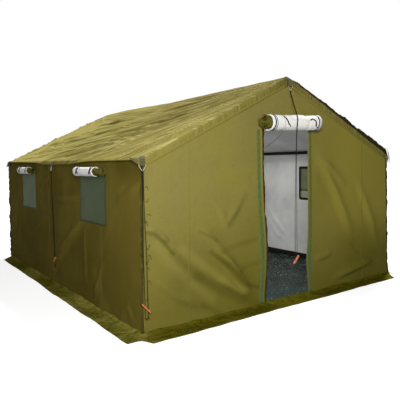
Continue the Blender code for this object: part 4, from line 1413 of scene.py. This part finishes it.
def door_tapes():
    tapes = (("left", ((-0.478, 2.08), (-0.474, 1.2), (-0.464, 0.03))),
             ("right", ((0.386, 2.08), (0.398, 1.2), (0.390, 0.03))))
    for name, path in tapes:
        for part, shift, width, lift, made_of in (("", 0, 0.042, 0.0014, olive_tape),
                                                  ("_outer", -0.019, 0.011, 0.0026, green_tape),
                                                  ("_inner", 0.019, 0.011, 0.0026, green_tape)):
            ribbon(f"door_tape_{name}{part}", "front_wall", front_surface,
                   [(x + shift, z) for x, z in along(path)], width, lift, made_of)
    for name, x in (("left", door_left - 0.014), ("right", door_right + 0.014)):
        ribbon(f"jamb_hem_{name}", "front_wall", front_surface, along(((x, 2.09), (x, 0.01))),
               hem_width, 0.0016, front_hem)

    # A dark brown strip inside the left jamb, painted shade.
    def facing_place(share, z):
        wide = max(0.004, 0.024 + 0.020 * drift(z * 4, 3.0, 1.0) + 0.012 * drift(z * 15, 5.0, 1.0))
        return front_place(door_left - 0.006, z) + Vector((share * (wide + 0.006), 0.0035, 0))

    cloth("jamb_facing", "front_wall", stations((0, 1), 0.25), stations((0.015, 2.09), 0.03),
          facing_place, [jamb_shade_tape], thickness=thin_canvas)


door_tapes()


def seams():
    """Flat-felled seams where the widths of canvas meet."""
    places = [("front_left", "front_wall", front_surface, -1.455, 1.94, front_seam),
              ("front_right", "front_wall", front_surface, 1.42, 1.96, front_seam),
              ("rear_left", "rear_wall", rear_surface, -0.72, 2.27, front_seam),
              ("rear_right", "rear_wall", rear_surface, 0.70, 2.28, front_seam)]
    places += [(f"{name}_{number}", name + "_wall", surface, y, top, side_seam)
               for name, surface in (("left", left_surface), ("right", right_surface))
               for number, (y, top) in enumerate(((-1.60, window_sill - 0.04), (0.30, 1.74),
                                                  (1.92, 1.74)))]
    for name, node, surface, place, top, made_of in places:
        ribbon("seam_" + name, node, surface, along(((place, top), (place, 0.02))), seam_width,
               0.0011, made_of)


seams()


def smooth_path(corners):
    """A smooth line over a surface, through its corners."""
    return [(spot.x, spot.y) for spot in smooth_route([Vector((a, b, 0)) for a, b in corners], 4)]


def corner_bindings():
    for name, x in (("left", -1.985), ("right", 1.985)):
        for part, high, low, width, made_of in (("teal", 1.70, 1.36, 0.010, teal_tape),
                                                ("foot", 1.36, 0.03, seam_width, front_seam)):
            ribbon(f"corner_binding_{name}_{part}", "front_wall", front_surface,
                   along(((x, high), (x, low))), width, 0.0016, made_of)


def corner_laps():
    """The wall's edge past each corner, frayed, and dark with painted shade."""
    for end, end_name, place in ((-1, "front", front_place), (1, "rear", rear_place)):
        for side, side_name in sides:
            def at(share, z):
                wide = 0.024 + 0.016 * drift(z * 6, side, end)
                wide += 0.018 * drift(z * 19, side, end + 4)
                curl = 0.006 * drift(z * 9, side, end + 8) * share
                return (place(side * (half_width - 0.006), z)
                        + Vector((side * share * max(0.008, wide), end * (0.004 + curl), 0)))

            cloth(f"corner_lap_{end_name}_{side_name}", end_name + "_wall",
                  stations((0, 1), 0.34), stations((0.03, 1.72), 0.022), at, [lap_canvas],
                  thickness=thin_canvas, flip=side * end > 0)


def corner_loops():
    """Ends of lacing cord that stand out of the front left corner's seam."""
    for number, (z, long, turned) in enumerate((
            (1.48, 0.045, 0.02), (1.35, 0.03, -0.02), (1.21, 0.05, 0.01), (1.13, 0.03, 0.03),
            (0.88, 0.045, -0.03), (0.79, 0.06, 0.03), (0.74, 0.05, -0.04), (0.67, 0.04, 0.02),
            (0.53, 0.05, 0.03), (0.36, 0.03, -0.02), (0.16, 0.05, 0.02))):
        x = -1.968 + 0.010 * (number % 3)
        long *= 0.8
        bend = smooth_path(((x, z), (x + 0.5 * long, z + 0.7 * turned), (x + long, z - turned)))
        ribbon(f"corner_loop_{number}", "front_wall", front_surface, bend, 0.006, 0.0022,
               lap_canvas)


corner_bindings()
corner_laps()
corner_loops()


def net_tapes(name, surface, spot):
    low, high = window_sill - 0.012, window_head + 0.012
    near, far = spot - window_half - 0.012, spot + window_half + 0.012
    for part, path, lip in (("sill", ((near, low), (far, low)), 0.0012),
                            ("near", ((near, low), (near, high)), 0.0017),
                            ("far", ((far, low), (far, high)), 0.0017)):
        ribbon(f"net_tape_{name}_{part}", "window_net_" + name, surface, along(path), 0.022,
               lip, net_tape)


def window_net(name, place, side, spot):
    half = window_half + 0.03

    def at(y, z):
        return place(y, z) - Vector((side * (canvas + 0.0012), 0, 0))

    net = cloth("net_" + name, "window_net_" + name, stations((spot - half, spot + half), 0.04),
                stations((window_sill - 0.03, window_head + 0.03), 0.04), at, [green_net],
                0.0008, flip=side < 0)


for (side, side_name), place, surface in zip(sides, (left_place, right_place),
                                             (left_surface, right_surface)):
    for end_name, spot in window_ends:
        net_tapes(f"{side_name}_{end_name}", surface, spot)
        window_net(f"{side_name}_{end_name}", place, side, spot)


# Rolled flaps
def lumpy(along_roll, angle, seed, lumps):
    """How a roll swells and sinks over its length and round it."""
    around = Vector((cos(angle), sin(angle), 0)) * 0.9
    soft = noise.noise(Vector((along_roll * 5, 0, seed)) + around)
    crisp = noise.noise(Vector((along_roll * 16, 0, seed + 3)) + around * 2.5)
    return 1 + lumps * (soft + 0.45 * crisp)


def roll(name, node, length, radius, place, made_of, ties, seed, turns=3.4, lumps=0.07,
         lap=0.0035, squash=1.0, ragged=0.0):
    """Cloth rolled up: a spiral section, pinched at its ties."""
    per_turn = 24

    def at(k, along_roll):
        angle = -tau * k / per_turn + pi * 0.5
        pinch = sum(exp(-((along_roll - tie) / 0.022) ** 2) for tie in ties)
        size = (radius - lap * k / per_turn) * lumpy(along_roll, angle, seed, lumps)
        size -= 0.10 * radius * pinch
        flare = 0.05 * radius * smoothstep(length / 2 - 0.05, length / 2, abs(along_roll))
        torn = ragged * drift(cos(angle) * 1.6, sin(angle) * 1.6, seed + k / 19)
        torn *= smoothstep(0.1 * length, 0.5 * length, abs(along_roll))
        return place(along_roll + torn, (size + flare) * cos(angle) * squash,
                     (size + flare) * sin(angle))

    return cloth(name, node, list(range(int(turns * per_turn) + 1)),
                 stations((-length / 2, length / 2), 0.018), at, [made_of], 0.0016)


def roll_band(name, node, place, radius, lumps, seed, along_roll, width, made_of,
              span=(0, tau), lean=0.0, lift=0.0016, pinch=0.0, path=None):
    """A strip that lies round a roll over part of its turn."""
    def surface(turn, at_roll):
        size = radius * lumpy(at_roll, turn, seed, lumps) - pinch
        spot = place(at_roll, size * cos(turn), size * sin(turn))
        return spot, (spot - place(at_roll, 0, 0)).normalized()

    middle = sum(span) / 2
    line = path or [(turn, along_roll + lean * (turn - middle)) for turn in stations(span, 0.22)]
    ribbon(name, node, surface, line, width, lift, made_of)


def toggle(name, node, spot, direction, made_of):
    """A small turned peg on the end of a tie cord."""
    half = direction.normalized() * 0.017
    points = [spot - half, spot - half * 0.7, spot - half * 0.3, spot, spot + half * 0.3,
              spot + half * 0.7, spot + half]
    tube(name, node, points, 0.0055, made_of, detail=3,
         swell=[0.75, 1.0, 0.95, 0.72, 0.95, 1.0, 0.75])


def door_roll():
    radius = 0.091
    lumps = 0.055
    length = 0.81
    node = "door_roll"
    stand_off = 0.108

    def place(along_roll, off, up):
        return Vector((along_roll - 0.020, -half_length - stand_off - off,
                       door_roll_height - 0.012 + 0.020 * along_roll + up))

    white = roll("door_roll_lining", node, length, radius, place, roll_lining,
                 (-0.185, 0.195), 4.0, lumps=lumps)
    for number, (spot, width) in enumerate(((-0.364, 0.018), (-0.338, 0.007), (0.362, 0.018),
                                            (0.387, 0.007))):
        roll_band(f"door_roll_stripe_{number}", node, place, radius, lumps, 4.0, spot, width,
                  blue_tape, lift=0.0026)

    def end_place(along_roll, off, up):
        sag = 0.016 * drift(along_roll * 24, off * 24, up * 24)
        return Vector((along_roll - 0.440, -half_length - stand_off - off + sag,
                       door_roll_height - 0.018 + up + sag))

    olive_end = roll("door_roll_canvas", node, 0.095, radius * 0.88, end_place, rolled_canvas,
                     (), 7.0, turns=5.2, lumps=0.30, lap=0.012, ragged=0.06)
    ties = (("left", smooth_path(((0.80, -0.222), (0.35, -0.192), (-0.30, -0.156)))),
            ("right", smooth_path(((0.26, 0.200), (0.44, 0.246), (0.14, 0.296),
                                   (-0.48, 0.306)))))
    for name, path in ties:
        roll_band(f"door_tie_{name}", node, place, radius, lumps, 4.0, 0, 0.015, dark_tape,
                  lift=0.0046, path=path)
        turn, spot = path[-1]
        low = place(spot, radius * cos(turn) * 1.04, radius * sin(turn) * 1.04)
        toggle(f"door_toggle_{name}", node, low + Vector((0.004, -0.006, -0.006)),
               Vector((0.5, -0.1, -0.8)), dark_tape)
    start = place(-0.17, radius * 0.80, -radius * 0.62)
    foot = Vector((-0.415, -half_length - 0.012, 1.86))
    middle = start.lerp(foot, 0.5) + Vector((-0.012, -0.012, -0.020))
    points = smooth_route([start, start.lerp(middle, 0.5) + Vector((0.006, -0.004, 0)),
                           middle, middle.lerp(foot, 0.5) + Vector((0, -0.002, -0.004)),
                           foot], 5)
    string = tube("door_tie_string", node, points, 0.0016, braided_rope, detail=3)


door_roll()


def window_roll(side_name, end_name, side, spot):
    radius = 0.055
    lumps = 0.08
    seed = 4.0 + spot + side
    name = f"roll_{side_name}_{end_name}"
    node = f"window_{name}"
    length = 0.594 if end_name == "front" else 0.54
    ties = (0.05 - length / 2, length / 2 - 0.12)

    def place(along_roll, off, up):
        return Vector((side * (side_face(window_roll_height) + 0.0575 + off),
                       spot - 0.25 + length / 2 + along_roll, window_roll_height - 0.002 + up))

    white = roll(name, node, length, radius, place, roll_lining, ties, seed, 2.6, lumps,
                 0.003, 0.96)

    def end_place(along_roll, off, up):
        sag = 0.008 * drift(along_roll * 30, off * 30, up * 30)
        return Vector((side * (side_face(window_roll_height) + 0.051 + off + sag),
                       spot - 0.345 + along_roll, window_roll_height - 0.006 + up + sag))

    olive_end = roll(name + "_canvas", node, 0.22, radius * 0.82, end_place, rolled_canvas, (),
                     seed, 3.8, 0.26, 0.007, ragged=0.04)
    for number, at_roll in enumerate(ties):
        for branch, lean in (("a", 0.042), ("b", -0.042)):
            roll_band(f"{name}_tie_{number}{branch}", node, place, radius, lumps, seed, at_roll,
                      0.018, dark_tape, (-0.5, 1.2), lean, 0.0045, 0.002)


for side, side_name in sides:
    for end_name, spot in window_ends:
        window_roll(side_name, end_name, side, spot)


# Guy ropes, repeated from the part's source
rope_diameter = 0.006
rope_spread = 0.030
rope_close = 0.009
rope_knot_length = 0.026
knot_top = -0.0597
corner_route = (
    (0.060, 0, 0, 0.009), (0.200, 0, 0.001, 0.010), (0.400, 0, 0.001, 0.014),
    (0.600, 0, 0.001, 0.022), (0.760, 0, 0, 0.030), (0.880, 0, 0, 0.030), (1.100, 0, 0, 0.030),
    (1.300, 0, 0, 0.030), (1.360, 0, 0, 0.030), (1.400, 0, 0, 0.030), (1.430, 0, 0, 0.030),
)
eave_route = (
    (0.060, 0, 0, 0.009), (0.200, 0, 0.001, 0.010), (0.380, 0, 0.001, 0.014),
    (0.540, 0, 0.001, 0.022), (0.680, 0, 0, 0.030), (0.800, 0, 0, 0.030), (1.000, 0, 0, 0.030),
    (1.200, 0, 0, 0.030), (1.280, 0, 0, 0.030), (1.320, 0, 0, 0.030), (1.350, 0, 0, 0.030),
)
ridge_route = (
    (0.050, -0.008, 0.028, 0.009), (0.150, -0.030, 0.084, 0.009),
    (0.240, -0.048, 0.135, 0.009), (0.295, -0.059, 0.165, 0.009),
    (0.341, -0.068, 0.177, 0.009), (0.400, -0.078, 0.180, 0.009),
    (0.500, -0.088, 0.180, 0.010), (0.700, -0.095, 0.180, 0.012),
    (1.000, -0.100, 0.180, 0.018), (1.300, -0.104, 0.180, 0.027),
    (1.440, -0.105, 0.180, 0.030), (1.600, -0.105, 0.180, 0.030),
    (1.800, -0.105, 0.180, 0.030), (1.960, -0.105, 0.180, 0.030),
    (2.020, -0.105, 0.180, 0.030), (2.060, -0.105, 0.180, 0.030),
)
guys = {
    "front_left": ((-2.0225, -2.66627, 1.705), 240, corner_route),
    "left": ((-2.062, 0, 1.688), 180, eave_route),
    "ridge_front": ((0, -2.6723, 2.605), -90, ridge_route),
}


def rope_line(route):
    foot = knot_top - rope_knot_length
    down = [Vector((0, 0, knot_top)), Vector((0, 0, knot_top - rope_knot_length / 2)),
            Vector((0, 0, foot))]
    up = [Vector((-rope_close, 0, foot - rope_diameter))]
    for drop, across, out, spread in route:
        middle = Vector((across, -out, foot - drop))
        down.append(middle + Vector((spread / 2, 0, 0)))
        up.append(middle - Vector((spread / 2, 0, 0)))
    low = (down[-1] + up[-1]) / 2
    bight = [low + Vector((cos(angle) * rope_spread / 2, 0, -sin(angle) * rope_spread / 2))
             for angle in (pi / 4, pi / 2, 3 * pi / 4)]
    return smooth_route(down + bight + up[::-1], 3)


def knot_pieces(place, to_world):
    """The eye of rope round the ring's wire, and the wraps of its knot below."""
    wire_low = -0.0569
    eye_radius = 0.0058
    wrap_radius = 0.0056
    eye = [to_world @ Vector((0, cos(tau * k / 12) * eye_radius,
                              wire_low + sin(tau * k / 12) * eye_radius)) for k in range(12)]
    turns = 3.25
    steps = int(turns * 14)
    wraps = []
    for k in range(steps + 1):
        angle = tau * turns * k / steps
        down = knot_top - 0.005 - (rope_knot_length - 0.008) * k / steps
        wraps.append(to_world @ Vector((cos(angle) * wrap_radius, sin(angle) * wrap_radius,
                                        down)))
    node, body = "guy_rope_" + place, "guy_" + place
    tube("rope_eye_" + place, node, eye, 0.0026, braided_rope, body, True, 3)
    tube("rope_knot_" + place, node, wraps, 0.0027, braided_rope, body, False, 3)
    return ["rope_eye_" + place, "rope_knot_" + place]


def round_edges(thing):
    edges = thing.modifiers.new("Rounded edges", "BEVEL")
    edges.width = 0.0016
    edges.segments = 3


def turned_slide(place):
    """The slide of one rope leans the other way: the node's shape, mirrored across the rope."""
    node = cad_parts["rope_slide_" + place]
    turn = radians(guys[place][1] + 90)
    spread = Vector((cos(turn), sin(turn), 0))
    spots = [node.matrix_world @ vert.co for vert in node.data.vertices]
    shares = [spot.dot(spread) for spot in spots]
    middle = (min(shares) + max(shares)) / 2
    mesh = bpy.data.meshes.new("slide_" + place)
    mesh.from_pydata([spot - 2 * (share - middle) * spread
                      for spot, share in zip(spots, shares)], [],
                     [tuple(face.vertices)[::-1] for face in node.data.polygons])
    round_edges(link("slide_" + place, mesh, "rope_slide_" + place, [orange_plastic],
                     "slide_" + place))


turned_slide("front_left")


def guy_ropes():
    for place, (bar, turn, route) in guys.items():
        to_world = Matrix.Translation(bar) @ Matrix.Rotation(radians(turn + 90), 4, "Z")
        points = [to_world @ spot for spot in rope_line(route)]
        rope = tube("rope_" + place, "guy_rope_" + place, points, rope_diameter / 2,
                    braided_rope, "guy_" + place, detail=5)
        extras = knot_pieces(place, to_world)


guy_ropes()


# Carried-over steel and plastic
def dress_nodes():
    for name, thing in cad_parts.items():
        if name.startswith(("ridge_pole", "eave_pole", "rafter", "leg", "ridge_socket",
                            "eave_socket")):
            made_of = galvanised
        elif name.startswith("ring_"):
            made_of = zinc_wire
        elif name.startswith("rope_slide"):
            made_of = orange_plastic
            round_edges(thing)
        else:
            continue
        for spot in thing.material_slots:
            spot.material = made_of


dress_nodes()


# Floor, backdrop and lights
def seen_white(n, lighting, seen):
    """One colour where the eye, a reflection or glass looks, another for lighting rays."""
    rays = n.add("LightPath").outputs
    looks = n.larger(rays["Is Camera Ray"], rays["Is Glossy Ray"])
    return n.mix(n.larger(looks, rays["Is Transmission Ray"]), lighting, seen)


def lamp(name, kind, energy, toward, place=(0, 0, 0), **settings):
    """A lamp that shines from the way it is given, itself unseen."""
    light = bpy.data.lights.new(name, kind)
    light.energy = energy
    for key, value in settings.items():
        setattr(light, key, value)
    made = bpy.data.objects.new(name, light)
    made.rotation_euler = Vector(toward).to_track_quat("Z", "Y").to_euler()
    made.location = place
    made.visible_camera = kind == "SUN"
    scene.collection.objects.link(made)


def studio():
    scene.world = bpy.data.worlds.new("studio")
    sky = Nodes(scene.world)
    sky.wire(seen_white(sky, (0.095, 0.095, 0.10), (1, 1, 1)),
             sky.tree.nodes["Background"].inputs["Color"])
    mesh = bpy.data.meshes.new("floor")
    size = 60
    mesh.from_pydata([(-size, -size, -0.001), (size, -size, -0.001), (size, size, -0.001),
                      (-size, size, -0.001)], [], [(0, 1, 2, 3)])
    floor = bpy.data.objects.new("floor", mesh)
    scene.collection.objects.link(floor)
    paper = Nodes("floor")
    ground = seen_white(paper, (0.12, 0.12, 0.115), (0.45, 0.45, 0.45))
    shine = seen_white(paper, (0, 0, 0), (0.80, 0.80, 0.80))
    mesh.materials.append(paper.finish(ground, 1.0, Specular_IOR_Level=0.0,
                                       Emission_Color=shine, Emission_Strength=1.0))
    lamp("above", "SUN", 4.2, (0.50, 0.32, 0.80), angle=radians(12))
    lamp("key", "AREA", 380, (-4.3, -6.6, 1.4), (-4.3, -7.2, 2.7), shape="DISK", size=1.7)
    lamp("back_fill", "AREA", 420, (5.0, 6.5, 2.8), (5.5, 7.5, 4.0), shape="DISK", size=3.0)
    lamp("inside_down", "AREA", 56, (0, 0, 1), (0, 0, 1.86), shape="RECTANGLE", size=3.0,
         size_y=4.4)
    lamp("inside_up", "AREA", 22, (0, 0, -1), (0, 0, 1.2), shape="RECTANGLE", size=3.0,
         size_y=4.4)


studio()
scene.view_settings.view_transform = "Standard"
